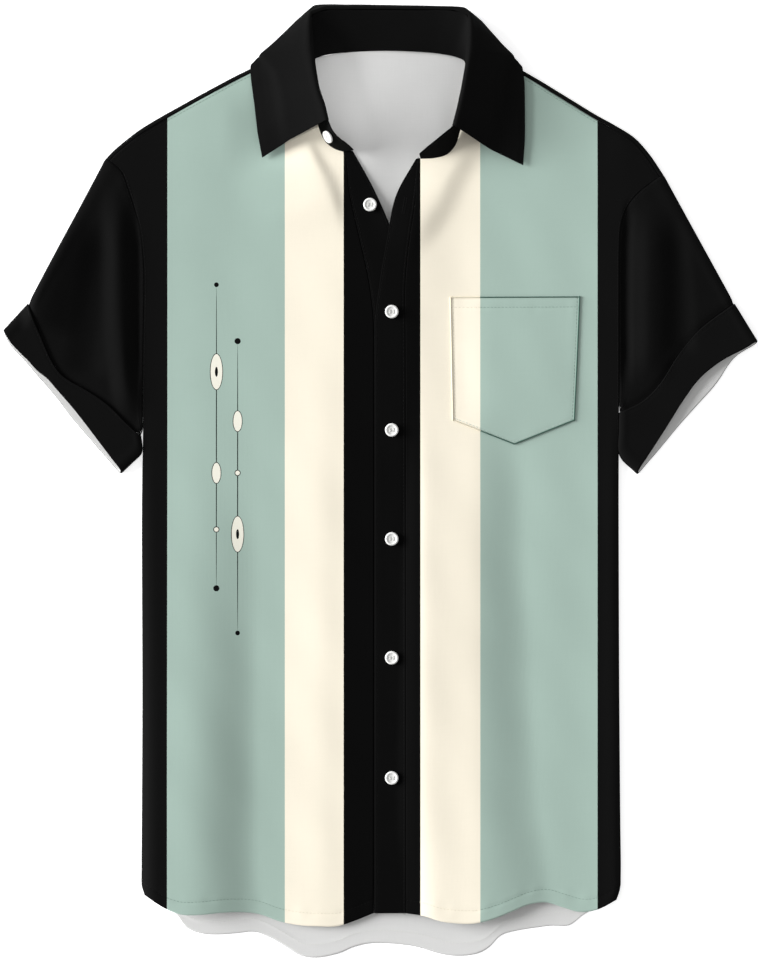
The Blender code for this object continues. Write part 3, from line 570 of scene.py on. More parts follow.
@dataclass(frozen=True)
class Poplin(Finish):
    """Cotton poplin, plain woven and combed: matt, with a faint grain of threads and slubs."""

    stripes: tuple[tuple[float, str], ...]
    specular: float = 0.12
    sheen: float = 0.0
    uneven: float = 0.03         # how far slubs and dye vary the colour
    motifs: tuple[tuple[float, float, float, float, str], ...] = ()
    thread: float = 0.55         # spacing in mm; the real 0.25 would not show at all

    def paint(self, tree: bpy.types.NodeTree, shader: bpy.types.Node) -> None:
        """Stripes by place, motifs over them, then slubs and the weave's bump."""
        place = add_node(tree, "ShaderNodeTexCoord")
        colour = self.printed(tree, place.outputs["Object"])
        slub = self.slubs(tree, place.outputs["UV"])
        mottle = add_node(tree, "ShaderNodeTexNoise", {
            "Vector": place.outputs["Object"], "Scale": 22.0, "Detail": 3.0})
        vary = add_node(tree, "ShaderNodeMath", {0: slub, 1: mottle.outputs["Fac"]},
                        operation="ADD")
        feed(tree, shader, {
            "Base Color": self.toned(tree, colour, vary.outputs[0], 1 - self.uneven,
                                     1 + self.uneven, (0.6, 1.4)),
            "Roughness": 0.86, "Specular IOR Level": self.specular,
            "Sheen Weight": self.sheen, "Sheen Roughness": 0.5,
            "Normal": self.weave(tree, place.outputs["UV"], slub)})

    def printed(self, tree: bpy.types.NodeTree,
                place: bpy.types.NodeSocket) -> bpy.types.NodeSocket:
        """Colour of the stripes and the motifs at a place."""
        split = add_node(tree, "ShaderNodeSeparateXYZ", {0: place})
        layers = []
        for start, code in self.stripes[1:]:
            past = add_node(tree, "ShaderNodeMath", {0: split.outputs["X"], 1: start * MM},
                            operation="GREATER_THAN")
            layers.append((past, code))
        for x, y, half_width, half_length, code in self.motifs:
            spot = add_node(tree, "ShaderNodeMapping", {
                "Vector": place, "Location": (-x / half_width, -y / half_length, 0),
                "Scale": (1 / half_width / MM, 1 / half_length / MM, 0)})
            away = add_node(tree, "ShaderNodeVectorMath", {0: spot.outputs[0]},
                            operation="LENGTH")
            inside = add_node(tree, "ShaderNodeMath", {0: away.outputs["Value"], 1: 1.0},
                              operation="LESS_THAN")
            layers.append((inside, code))
        plain = add_node(tree, "ShaderNodeRGB")
        plain.outputs[0].default_value = linear(self.stripes[0][1])
        colour = plain.outputs[0]
        for mask, code in layers:
            mixed = add_node(tree, "ShaderNodeMix", {
                0: mask.outputs[0], 6: colour, 7: linear(code)}, data_type="RGBA")
            colour = mixed.outputs[2]
        return colour

    def slubs(self, tree: bpy.types.NodeTree,
              place: bpy.types.NodeSocket) -> bpy.types.NodeSocket:
        """Thick and thin places of the yarn: streaks of about 1 mm by 17 mm, both ways."""
        runs = []
        for scale in ((900.0, 60.0, 1.0), (60.0, 900.0, 1.0)):
            turned = add_node(tree, "ShaderNodeMapping", {"Vector": place, "Scale": scale})
            noise = add_node(tree, "ShaderNodeTexNoise", {
                "Vector": turned.outputs[0], "Scale": 1.0, "Detail": 2.0})
            runs.append(noise.outputs["Fac"])
        mean = add_node(tree, "ShaderNodeMath", {0: runs[0], 1: runs[1]}, operation="ADD")
        half = add_node(tree, "ShaderNodeMath", {0: mean.outputs[0], 1: 0.5},
                        operation="MULTIPLY")
        return half.outputs[0]

    def weave(self, tree: bpy.types.NodeTree, place: bpy.types.NodeSocket,
              slub: bpy.types.NodeSocket) -> bpy.types.NodeSocket:
        """Normal of the plain weave: warp and weft cross over and under by turns."""
        # A wave turns by 20 radians a unit at scale 1, and each turn holds two threads.
        scale = math.tau / 20 / (2 * self.thread * MM)
        runs = []
        for axis in ("X", "Y"):
            wave = add_node(tree, "ShaderNodeTexWave", {"Vector": place, "Scale": scale},
                            bands_direction=axis)
            runs.append(wave.outputs["Fac"])
        cross = add_node(tree, "ShaderNodeMath", {0: runs[0], 1: runs[1]}, operation="MULTIPLY")
        height = add_node(tree, "ShaderNodeMath", {0: slub, 1: 1.2, 2: cross.outputs[0]},
                          operation="MULTIPLY_ADD")
        bump = add_node(tree, "ShaderNodeBump", {
            "Height": height.outputs[0], "Strength": 0.35, "Distance": 0.06 * MM})
        return bump.outputs["Normal"]


@dataclass(frozen=True)
class Thread(Finish):
    """Spun polyester sewing thread: a satin gloss, with its twist across it."""

    code: str

    def paint(self, tree: bpy.types.NodeTree, shader: bpy.types.Node) -> None:
        """One colour with the ply's fine slanting bands."""
        place = add_node(tree, "ShaderNodeTexCoord")
        ply = add_node(tree, "ShaderNodeTexWave", {
            "Vector": place.outputs["Object"], "Scale": 480.0, "Distortion": 1.5},
            bands_direction="DIAGONAL")
        bump = add_node(tree, "ShaderNodeBump", {
            "Height": ply.outputs["Fac"], "Strength": 0.3, "Distance": 0.05 * MM})
        feed(tree, shader, {
            "Base Color": self.toned(tree, linear(self.code)[:3], ply.outputs["Fac"], 0.82, 1.06),
            "Normal": bump.outputs["Normal"], "Roughness": 0.5, "Specular IOR Level": 0.08})


@dataclass(frozen=True)
class CastResin(Finish):
    """Cast polyester, turned and tumbled: milky white, glossy, with faint clouds."""

    code: str

    def paint(self, tree: bpy.types.NodeTree, shader: bpy.types.Node) -> None:
        """Clouded white under a clear polish."""
        place = add_node(tree, "ShaderNodeTexCoord")
        cloud = add_node(tree, "ShaderNodeTexNoise", {
            "Vector": place.outputs["Object"], "Scale": 260.0, "Detail": 3.0,
            "Distortion": 1.2})
        gloss = add_node(tree, "ShaderNodeMapRange", {
            "Value": cloud.outputs["Fac"], "To Min": 0.22, "To Max": 0.34})
        feed(tree, shader, {
            "Base Color": self.toned(tree, linear(self.code)[:3], cloud.outputs["Fac"],
                                     0.93, 1.0, (0.3, 0.7)),
            "Roughness": gloss.outputs["Result"], "IOR": 1.55, "Coat Weight": 0.3,
            "Coat Roughness": 0.1})


@dataclass(frozen=True)
class Paper(Finish):
    """Matt studio paper on a table that is lit from below: even, white and without gloss."""

    code: str
    glow: float

    def paint(self, tree: bpy.types.NodeTree, shader: bpy.types.Node) -> None:
        """White with the least trace of fibre."""
        place = add_node(tree, "ShaderNodeTexCoord")
        fibre = add_node(tree, "ShaderNodeTexNoise", {
            "Vector": place.outputs["Object"], "Scale": 40.0, "Detail": 2.0})
        feed(tree, shader, {
            "Base Color": self.toned(tree, linear(self.code)[:3], fibre.outputs["Fac"],
                                     0.995, 1.0),
            "Roughness": 1.0, "Specular IOR Level": 0.0,
            "Emission Color": linear(self.code), "Emission Strength": self.glow})


# Drawn ornament of the right front: hairlines with round beads, ovals and rings.
INK, MILK = "#101111", "#F6F4E6"
ORNAMENT = (
    # x, y, half width, half length, colour
    (-139, 36, 0.42, 128, INK), (-121, -6, 0.42, 122, INK),
    (-139, 166, 2.0, 2.0, INK), (-139, -92, 2.6, 2.6, INK),
    (-121, 118, 2.6, 2.6, INK), (-121, -130, 2.0, 2.0, INK),
    (-139, 92, 5.6, 15.6, INK), (-139, 92, 5.0, 15.0, MILK), (-139, 92, 1.3, 4.2, INK),
    (-139, 6, 4.2, 9.2, INK), (-139, 6, 3.6, 8.6, MILK),
    (-121, 50, 4.2, 9.2, INK), (-121, 50, 3.6, 8.6, MILK),
    (-121, -46, 5.6, 15.6, INK), (-121, -46, 5.0, 15.0, MILK), (-121, -46, 1.3, 4.2, INK),
    (-139, -42, 2.6, 2.6, INK), (-139, -42, 1.9, 1.9, MILK),
    (-121, 6, 2.6, 2.6, INK), (-121, 6, 1.9, 1.9, MILK),
)
STRIPED = Poplin("poplin_striped", STRIPES, 0.035, 0.0, 0.02)
ORNATE = Poplin("poplin_striped_ornament", STRIPES, 0.035, 0.0, 0.02, ORNAMENT)
DYED = Poplin("poplin_black", ((0, "#0F0F0F"),), 0.035, 0.0, 0.1)
# Painted shade: the bands' black is darker than the rest, for the shade down the button bands.
SHADED_BAND_POPLIN = Poplin("poplin_black_bands", ((0, "#090909"),), 0.035, 0.0, 0.1)
REVERSE = Poplin("poplin_unprinted_reverse", ((0, "#DADAD9"),), 0.08, 0.0, 0.03)
BLACK_THREAD = Thread("sewing_thread_black", "#0D0D0D")
SAGE_THREAD = Thread("sewing_thread_sage", "#7F968C")
# Painted shadow: the pine and sand threads make the dark line round the pocket's edge, pine on
# mint and sand on cream.
PINE_SHADOW_THREAD = Thread("sewing_thread_pine", "#4C685E")
SAND_SHADOW_THREAD = Thread("sewing_thread_sand", "#E4DCC6")
IVORY_THREAD = Thread("sewing_thread_ivory", "#EAE2CC")
MIST_THREAD = Thread("sewing_thread_mist", "#BACCC4")
WHITE_THREAD = Thread("sewing_thread_white", "#E4E4E0")
STITCHED = {MINT: SAGE_THREAD, CREAM: IVORY_THREAD, BLACK: BLACK_THREAD, PAINTED_SHADE_BLACK: BLACK_THREAD}
# Painted shadow line round the pocket, its colour chosen by the stripe it crosses.
SHADOW_LINE_THREADS = {MINT: PINE_SHADOW_THREAD, CREAM: SAND_SHADOW_THREAD, BLACK: BLACK_THREAD, PAINTED_SHADE_BLACK: BLACK_THREAD}
RESIN = CastResin("button_resin_white", "#EDEDEB")
PAPER = Paper("studio_paper", "#FFFFFF", 0.6)


# ---------------------------------------------------------------- meshes and objects


def meshed(name: str, points: Sequence, edges: Sequence, faces: Sequence,
           *finishes: Finish) -> bpy.types.Mesh:
    """Mesh of points in metres with its edges, faces and finishes."""
    mesh = bpy.data.meshes.new(name)
    mesh.from_pydata(points, edges, faces)
    for finish in finishes:
        mesh.materials.append(finish.material())
    return mesh


def placed(name: str, data: bpy.types.ID) -> bpy.types.Object:
    """Object of the scene, at the origin, that shows a mesh, a lamp or a camera."""
    item = bpy.data.objects.new(name, data)
    bpy.context.scene.collection.objects.link(item)
    return item


def baked(item: bpy.types.Object) -> bpy.types.Mesh:
    """Plain mesh of what an object's modifiers make."""
    bpy.context.view_layer.update()
    return bpy.data.meshes.new_from_object(
        item.evaluated_get(bpy.context.evaluated_depsgraph_get()))


# ---------------------------------------------------------------- cloth walls


class Edge(Enum):
    """Edges of a piece's grid: the axis across them, and whether they come last on it."""

    LOW = (0, False)
    TOP = (0, True)
    FIRST = (1, False)
    LAST = (1, True)


class Cloth:
    """One cut piece: a grid of middle points, and the wall that is built round it."""

    GATHERS = (9.0, 14.5, 23.0)  # lengths of the waves that sewing draws up
    GATHERED = 6.0               # how far to each side of the line they reach
    BULGE = 0.22                 # rounding of the edges, as a share of the wall

    def __init__(self, name: str, grid: np.ndarray, thickness: float = CLOTH,
                 ring: bool = False, shows_up: bool = True, probe: float = 0.5) -> None:
        """Keep the grid and find which side of it is printed.

        Args:
            name: Name of the piece and of the solid it stands for.
            grid: Middle points in millimetres, rows by columns.
            thickness: Wall in millimetres.
            ring: Whether the last column joins the first.
            shows_up: Whether the printed side looks up at the probe.
            probe: Share of the columns at which that is read.
        """
        rest = np.maximum(grid[..., 2:], thickness / 2)
        self.name, self.thickness, self.ring = name, thickness, ring
        self.grid = np.concatenate([grid[..., :2], rest], axis=2)
        self.face = 1
        looks = self.normals()[len(grid) // 2, int(grid.shape[1] * probe), 2] > 0
        self.face = 1 if looks == shows_up else -1

    def normals(self) -> np.ndarray:
        """Unit normals of the printed side."""
        if self.ring:
            wide = np.concatenate([self.grid[:, -1:], self.grid, self.grid[:, :1]], axis=1)
            across = np.gradient(wide, axis=1)[:, 1:-1]
        else:
            across = np.gradient(self.grid, axis=1)
        normal = np.cross(across, np.gradient(self.grid, axis=0))
        length = np.maximum(np.linalg.norm(normal, axis=2, keepdims=True), TINY)
        return self.face * normal / length

    def reach(self, edge: Edge) -> np.ndarray:
        """Distance of every grid point from an edge, measured on the cloth."""
        axis, last = edge.value
        if last:
            return np.flip(travelled(np.flip(self.grid, axis), axis), axis)
        return travelled(self.grid, axis)

    def closed(self) -> np.ndarray:
        """The grid, with its first column once more at the end where it is a ring."""
        if not self.ring:
            return self.grid
        return np.concatenate([self.grid, self.grid[:, :1]], axis=1)

    def area(self) -> float:
        """Area of the middle surface in square centimetres."""
        grid = self.closed()
        cross = np.cross(grid[1:, 1:] - grid[:-1, :-1], grid[1:, :-1] - grid[:-1, 1:])
        return float(np.linalg.norm(cross, axis=2).sum() / 2 / 100)

    def press(self, edge: Edge, inset: float, width: float, depth: float,
              pucker: float = 0.0) -> None:
        """Sink or raise the cloth along a line beside an edge.

        Args:
            edge: Edge that the line follows.
            inset: Distance of the line from the edge.
            width: Half width of the mark.
            depth: Height of the mark; below zero it sinks.
            pucker: Height of the small gathers that the sewing draws up.
        """
        away = self.reach(edge) - inset
        mark = depth * np.exp(-(away / width) ** 2)
        if pucker:
            along = travelled(self.grid, 1 - edge.value[0])
            draw = np.random.default_rng(len(self.name) * 31 + int(inset * 10))
            for length in self.GATHERS:
                mark += (pucker * np.sin(along * math.tau / length + draw.uniform(0, math.tau))
                         * np.exp(-(away / self.GATHERED) ** 2) / 2)
        self.grid = self.grid + self.normals() * mark[..., None]

    def beside(self, edge: Edge, inset: float, start: float = 0.0, stop: float = 1.0,
               reverse: bool = False) -> np.ndarray:
        """Line on the cloth's face at one distance from an edge.

        Args:
            edge: Edge that the line follows.
            inset: Distance from it.
            start: Share of the edge where the line begins.
            stop: Share where it ends.
            reverse: Whether it lies on the unprinted side.

        Returns:
            Points in millimetres.
        """
        axis, last = edge.value
        side = -1 if reverse else 1
        face = self.grid + self.normals() * (self.thickness / 2 * side)
        reach = self.reach(edge)
        if axis == 0:
            face, reach = face.swapaxes(0, 1), reach.T
        if last:
            face, reach = face[:, ::-1], reach[:, ::-1]
        line = np.array([[np.interp(inset, r, p[:, k]) for k in range(3)]
                         for r, p in zip(reach, face)])
        first, end = round(start * (len(line) - 1)), round(stop * (len(line) - 1))
        return line[first:end + 1]

    def build(self, printed: Finish, reverse: Finish) -> bpy.types.Object:
        """Wall round the grid, with rounded edges.

        Args:
            printed: Finish of the face and the edges.
            reverse: Finish of the other side.

        Returns:
            The piece's object, at the origin.
        """
        rows, columns = self.grid.shape[:2]
        normal = self.normals() * self.face
        above = self.grid + normal * (self.thickness / 2)
        below = self.grid - normal * (self.thickness / 2)
        rim, bulge = self.rim()
        points = np.concatenate([above.reshape(-1, 3), below.reshape(-1, 3), bulge])
        wide = columns if self.ring else columns - 1
        j, i = np.meshgrid(np.arange(rows - 1), np.arange(wide), indexing="ij")
        j, i = j.ravel(), i.ravel()
        corners = [(j, i), (j, i + 1), (j + 1, i + 1), (j + 1, i)]
        upper = np.column_stack([a * columns + b % columns for a, b in corners])
        size = rows * columns
        faces = np.vstack([upper, upper[:, ::-1] + size])
        cut = self.cut_places()
        laid = np.stack([cut[a, b] for a, b in corners], axis=1)
        uvs = np.concatenate([laid, laid[:, ::-1]])
        flat = [a * columns + b for a, b in rim]
        # Two faces a step round the rim: from one side to the bulge, and on to the other side.
        edges, edge_uvs = [], []
        for start, stop in self.loops(rim):
            for k in range(start, stop):
                n = k + 1 if k + 1 < stop else start
                p, q, m, o = flat[k], flat[n], 2 * size + k, 2 * size + n
                edges += [(q, p, m, o), (o, m, p + size, q + size)]
                a = cut[rim[k]]
                b = a if n == start else cut[rim[n]]
                edge_uvs += [(b, a, a, b), (b, a, a, b)]
        everything = np.vstack([faces, np.array(edges)])
        mesh = meshed(self.name, (points * MM).tolist(), [], everything.tolist(),
                      printed, reverse)
        layer = mesh.uv_layers.new(name="cut")
        all_uvs = np.concatenate([uvs, np.array(edge_uvs)]) * MM
        layer.data.foreach_set("uv", all_uvs.astype(np.float32).ravel())
        over, under = (0, 1) if self.face > 0 else (1, 0)
        slots = np.repeat([over, under, 0], [len(upper), len(upper), len(edges)])
        mesh.polygons.foreach_set("material_index", slots.astype(np.int32))
        mesh.shade_smooth()
        mesh.update()
        item = placed(f"{self.name}_cloth", mesh)
        LOG.info("%s: %d faces, %d of them on its edges", item.name, len(everything), len(edges))
        return item

    def loops(self, rim: list[tuple[int, int]]) -> list[tuple[int, int]]:
        """Runs of the rim's points that each close on themselves."""
        if not self.ring:
            return [(0, len(rim))]
        return [(0, len(rim) // 2), (len(rim) // 2, len(rim))]

    def rim(self) -> tuple[list[tuple[int, int]], np.ndarray]:
        """Grid places round the edges, and a point that bulges out beyond each.

        Returns:
            Places as (row, column), and the points.
        """
        rows, columns = self.grid.shape[:2]
        if self.ring:
            places = [(0, i) for i in range(columns)]
            places += [(rows - 1, i) for i in range(columns)][::-1]
        else:
            places = ([(0, i) for i in range(columns - 1)]
                      + [(j, columns - 1) for j in range(rows - 1)]
                      + [(rows - 1, i) for i in range(columns - 1, 0, -1)]
                      + [(j, 0) for j in range(rows - 1, 0, -1)])
        bulge = []
        for j, i in places:
            inside = (min(max(j, 1), rows - 2),
                      i if self.ring else min(max(i, 1), columns - 2))
            out = self.grid[j, i] - self.grid[inside]
            out *= self.thickness * self.BULGE / np.linalg.norm(out)
            bulge.append(self.grid[j, i] + out)
        return places, np.array(bulge)

    def cut_places(self) -> np.ndarray:
        """Place of every point on the flat cut, for the weave: across and along the grain."""
        grid = self.closed()
        across, middle = travelled(grid, 1), grid.shape[1] // 2
        across += grid[:, middle, 0][:, None] - across[:, middle][:, None]
        along = travelled(grid, 0) + grid[0, :, 1]
        return np.stack([across, along], axis=2)


# ---------------------------------------------------------------- sewing


class StitchKind(Enum):
    """Kinds of stitch: (pitch, length, thread radius) in mm."""

    LOCK = (3.0, 2.45, 0.2)
    SATIN = (0.5, 1.5, 0.2)
    # Not a stitch: a thick cord along the pocket's edge, painted shadow of the raised edge.
    CORD = (0.9, 1.9, 0.62)


class Sewing:
    """Rows of stitches, set along paths by one node tree."""

    def __init__(self) -> None:
        """Build the tree once."""
        self.tree = self.make_tree()

    def make_tree(self) -> bpy.types.GeometryNodeTree:
        """Tree that walks a path in even steps and lays a stitch at each."""
        tree = bpy.data.node_groups.new("stitches", "GeometryNodeTree")
        face = tree.interface
        face.new_socket("Geometry", in_out="INPUT", socket_type="NodeSocketGeometry")
        for name in ("Pitch", "Length", "Radius"):
            face.new_socket(name, in_out="INPUT", socket_type="NodeSocketFloat")
        face.new_socket("Finish", in_out="INPUT", socket_type="NodeSocketMaterial")
        face.new_socket("Geometry", in_out="OUTPUT", socket_type="NodeSocketGeometry")
        given = add_node(tree, "NodeGroupInput")
        path = add_node(tree, "GeometryNodeMeshToCurve", {"Mesh": given.outputs["Geometry"]})
        walk = add_node(tree, "GeometryNodeResampleCurve", {
            "Curve": path.outputs["Curve"], "Length": given.outputs["Pitch"]}, mode="LENGTH")
        lay = add_node(tree, "GeometryNodeInputNamedAttribute", {"Name": "lay"},
                       data_type="FLOAT_VECTOR")
        turn = add_node(tree, "FunctionNodeAlignRotationToVector", {
            "Vector": lay.outputs["Attribute"]}, axis="Z")
        bead = add_node(tree, "GeometryNodeMeshUVSphere", {
            "Segments": 6, "Rings": 4, "Radius": 1.0})
        half = add_node(tree, "ShaderNodeMath", {0: given.outputs["Length"], 1: 0.5},
                        operation="MULTIPLY")
        size = add_node(tree, "ShaderNodeCombineXYZ", {
            "X": given.outputs["Radius"], "Y": given.outputs["Radius"],
            "Z": half.outputs[0]})
        stitch = add_node(tree, "GeometryNodeTransform", {
            "Geometry": bead.outputs["Mesh"], "Scale": size.outputs[0]})
        sewn = add_node(tree, "GeometryNodeInstanceOnPoints", {
            "Points": walk.outputs["Curve"], "Instance": stitch.outputs["Geometry"],
            "Rotation": turn.outputs["Rotation"]})
        real = add_node(tree, "GeometryNodeRealizeInstances", {
            "Geometry": sewn.outputs["Instances"]})
        even = add_node(tree, "GeometryNodeSetShadeSmooth", {"Geometry": real.outputs[0]})
        dyed = add_node(tree, "GeometryNodeSetMaterial", {
            "Geometry": even.outputs[0], "Material": given.outputs["Finish"]})
        add_node(tree, "NodeGroupOutput", {0: dyed.outputs[0]})
        return tree

    def sew(self, name: str, rows: Sequence[tuple[StitchKind, Sequence[np.ndarray]]],
            finish: Finish) -> bpy.types.Object:
        """Stitches of one or more kinds along paths, as one plain mesh.

        Args:
            name: Name of the piece.
            rows: Each kind with its paths; a satin stitch lies across its path.
            finish: Thread.

        Returns:
            The piece's object.
        """
        parts = [self.row(kind, paths, finish) for kind, paths in rows]
        points = [np.array([v.co for v in part.vertices]) for part in parts]
        offset = np.cumsum([0] + [len(p) for p in points])
        faces = [[v + offset[k] for v in face.vertices]
                 for k, part in enumerate(parts) for face in part.polygons]
        mesh = meshed(name, np.concatenate(points).tolist(), [], faces, finish)
        mesh.shade_smooth()
        for part in parts:
            bpy.data.meshes.remove(part)
        LOG.info("%s: %d faces of stitches", name, len(faces))
        return placed(name, mesh)

    def lock(self, name: str, paths: Sequence[np.ndarray],
             finish: Finish = BLACK_THREAD) -> bpy.types.Object:
        """Plain lock stitches of one thread along paths."""
        return self.sew(name, [(StitchKind.LOCK, paths)], finish)

    def sew_matched(self, name: str, kind: StitchKind, paths: Sequence[np.ndarray],
                    threads: dict[str, Finish]) -> list[bpy.types.Object]:
        """Rows whose thread changes with the printed stripes that they cross.

        Args:
            name: Name of the piece, which the thread's name is added to.
            kind: Kind of stitch.
            paths: Paths, in the garment's place.
            threads: Thread for each colour of stripe.

        Returns:
            One object for each thread.
        """
        starts = np.array([start for start, _ in STRIPES[1:]])
        runs: dict[Finish, list[np.ndarray]] = {}
        for path in paths:
            fine = walked(path, max(4, 2 * len(path)))
            stripe = np.searchsorted(starts, fine[:, 0])
            for run in np.split(np.arange(len(fine)), np.flatnonzero(np.diff(stripe)) + 1):
                if len(run) > 1:
                    thread = threads[STRIPES[stripe[run[0]]][1]]
                    runs.setdefault(thread, []).append(fine[run])
        return [self.sew(f"{name}_{thread.name.rsplit('_', 1)[1]}", [(kind, rows)], thread)
                for thread, rows in runs.items()]

    def row(self, kind: StitchKind, paths: Sequence[np.ndarray],
            finish: Finish) -> bpy.types.Mesh:
        """Plain mesh of one kind of stitch along its paths."""
        points, edges, lay = [], [], []
        for path in paths:
            along = np.gradient(path, axis=0)
            if kind is StitchKind.SATIN:
                along = np.cross(along, (0.0, 0.0, 1.0))
            start = len(points)
            points += (path * MM).tolist()
            lay += along.tolist()
            edges += [(k, k + 1) for k in range(start, len(points) - 1)]
        mesh = meshed("stitch_paths", points, edges, [])
        store = mesh.attributes.new("lay", "FLOAT_VECTOR", "POINT")
        store.data.foreach_set("vector", np.array(lay, np.float32).ravel())
        item = placed("stitch_paths", mesh)
        sewing = item.modifiers.new("sewing", "NODES")
        sewing.node_group = self.tree
        sockets = {s.name: s.identifier for s in self.tree.interface.items_tree
                   if s.in_out == "INPUT"}
        for key, value in zip(("Pitch", "Length", "Radius"), kind.value):
            sewing[sockets[key]] = value * MM
        sewing[sockets["Finish"]] = finish.material()
        made = baked(item)
        bpy.data.objects.remove(item)
        return made


def slot_rows(x: float, y: float, length: float, angle: float,
              height: Callable[[float, float], float]) -> list[np.ndarray]:
    """Two sides of a worked buttonhole.

    Args:
        x: Middle.
        y: Middle.
        length: Length of the slit.
        angle: Direction in plan, in degrees from +X.
        height: Height of the cloth's face at a place.

    Returns:
        Paths for satin stitches.
    """
    turn = math.radians(angle)
    along = np.array([math.cos(turn), math.sin(turn)])
    across = np.array([-along[1], along[0]])
    rows = []
    for side in (-SLIT_SIDE, SLIT_SIDE):
        places = [np.array([x, y]) + along * length * (t - 0.5) + across * side
                  for t in np.linspace(0, 1, 9)]
        rows.append(np.array([[*p, height(*p)] for p in places]))
    return rows


def face_height(layer: Relief) -> Callable[[float, float], float]:
    """Height of an upper layer's face as a function of two numbers."""
    def height(x: float, y: float) -> float:
        """Height at one place."""
        return float(UPPER + layer(np.array([x]), np.array([y]))[0] + CLOTH / 2)
    return height


# ---------------------------------------------------------------- sub-assemblies


def shown(cloth: Cloth, printed: Finish, reverse: Finish,
          flat: tuple[float, float], area: float,
          stitches: Sequence[bpy.types.Object] = ()) -> bpy.types.Object:
    """Build a piece of cloth, log its area, hide its solid and attach it and its stitches to the
    root body.

    Args:
        cloth: The piece.
        printed: Finish of its face.
        reverse: Finish of its other side.
        flat: Width and length of the cut in millimetres; not used.
        area: Area of the cut in square centimetres.
        stitches: Rows of stitches on it.

    Returns:
        The piece's object.
    """
    item = cloth.build(printed, reverse)
    LOG.info("%s: %.0f square cm of cloth, cut from %.0f", cloth.name, cloth.area(), area)
    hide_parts(cloth.name)
    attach(item, "root")
    for row in stitches:
        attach(row, "root")
    return item


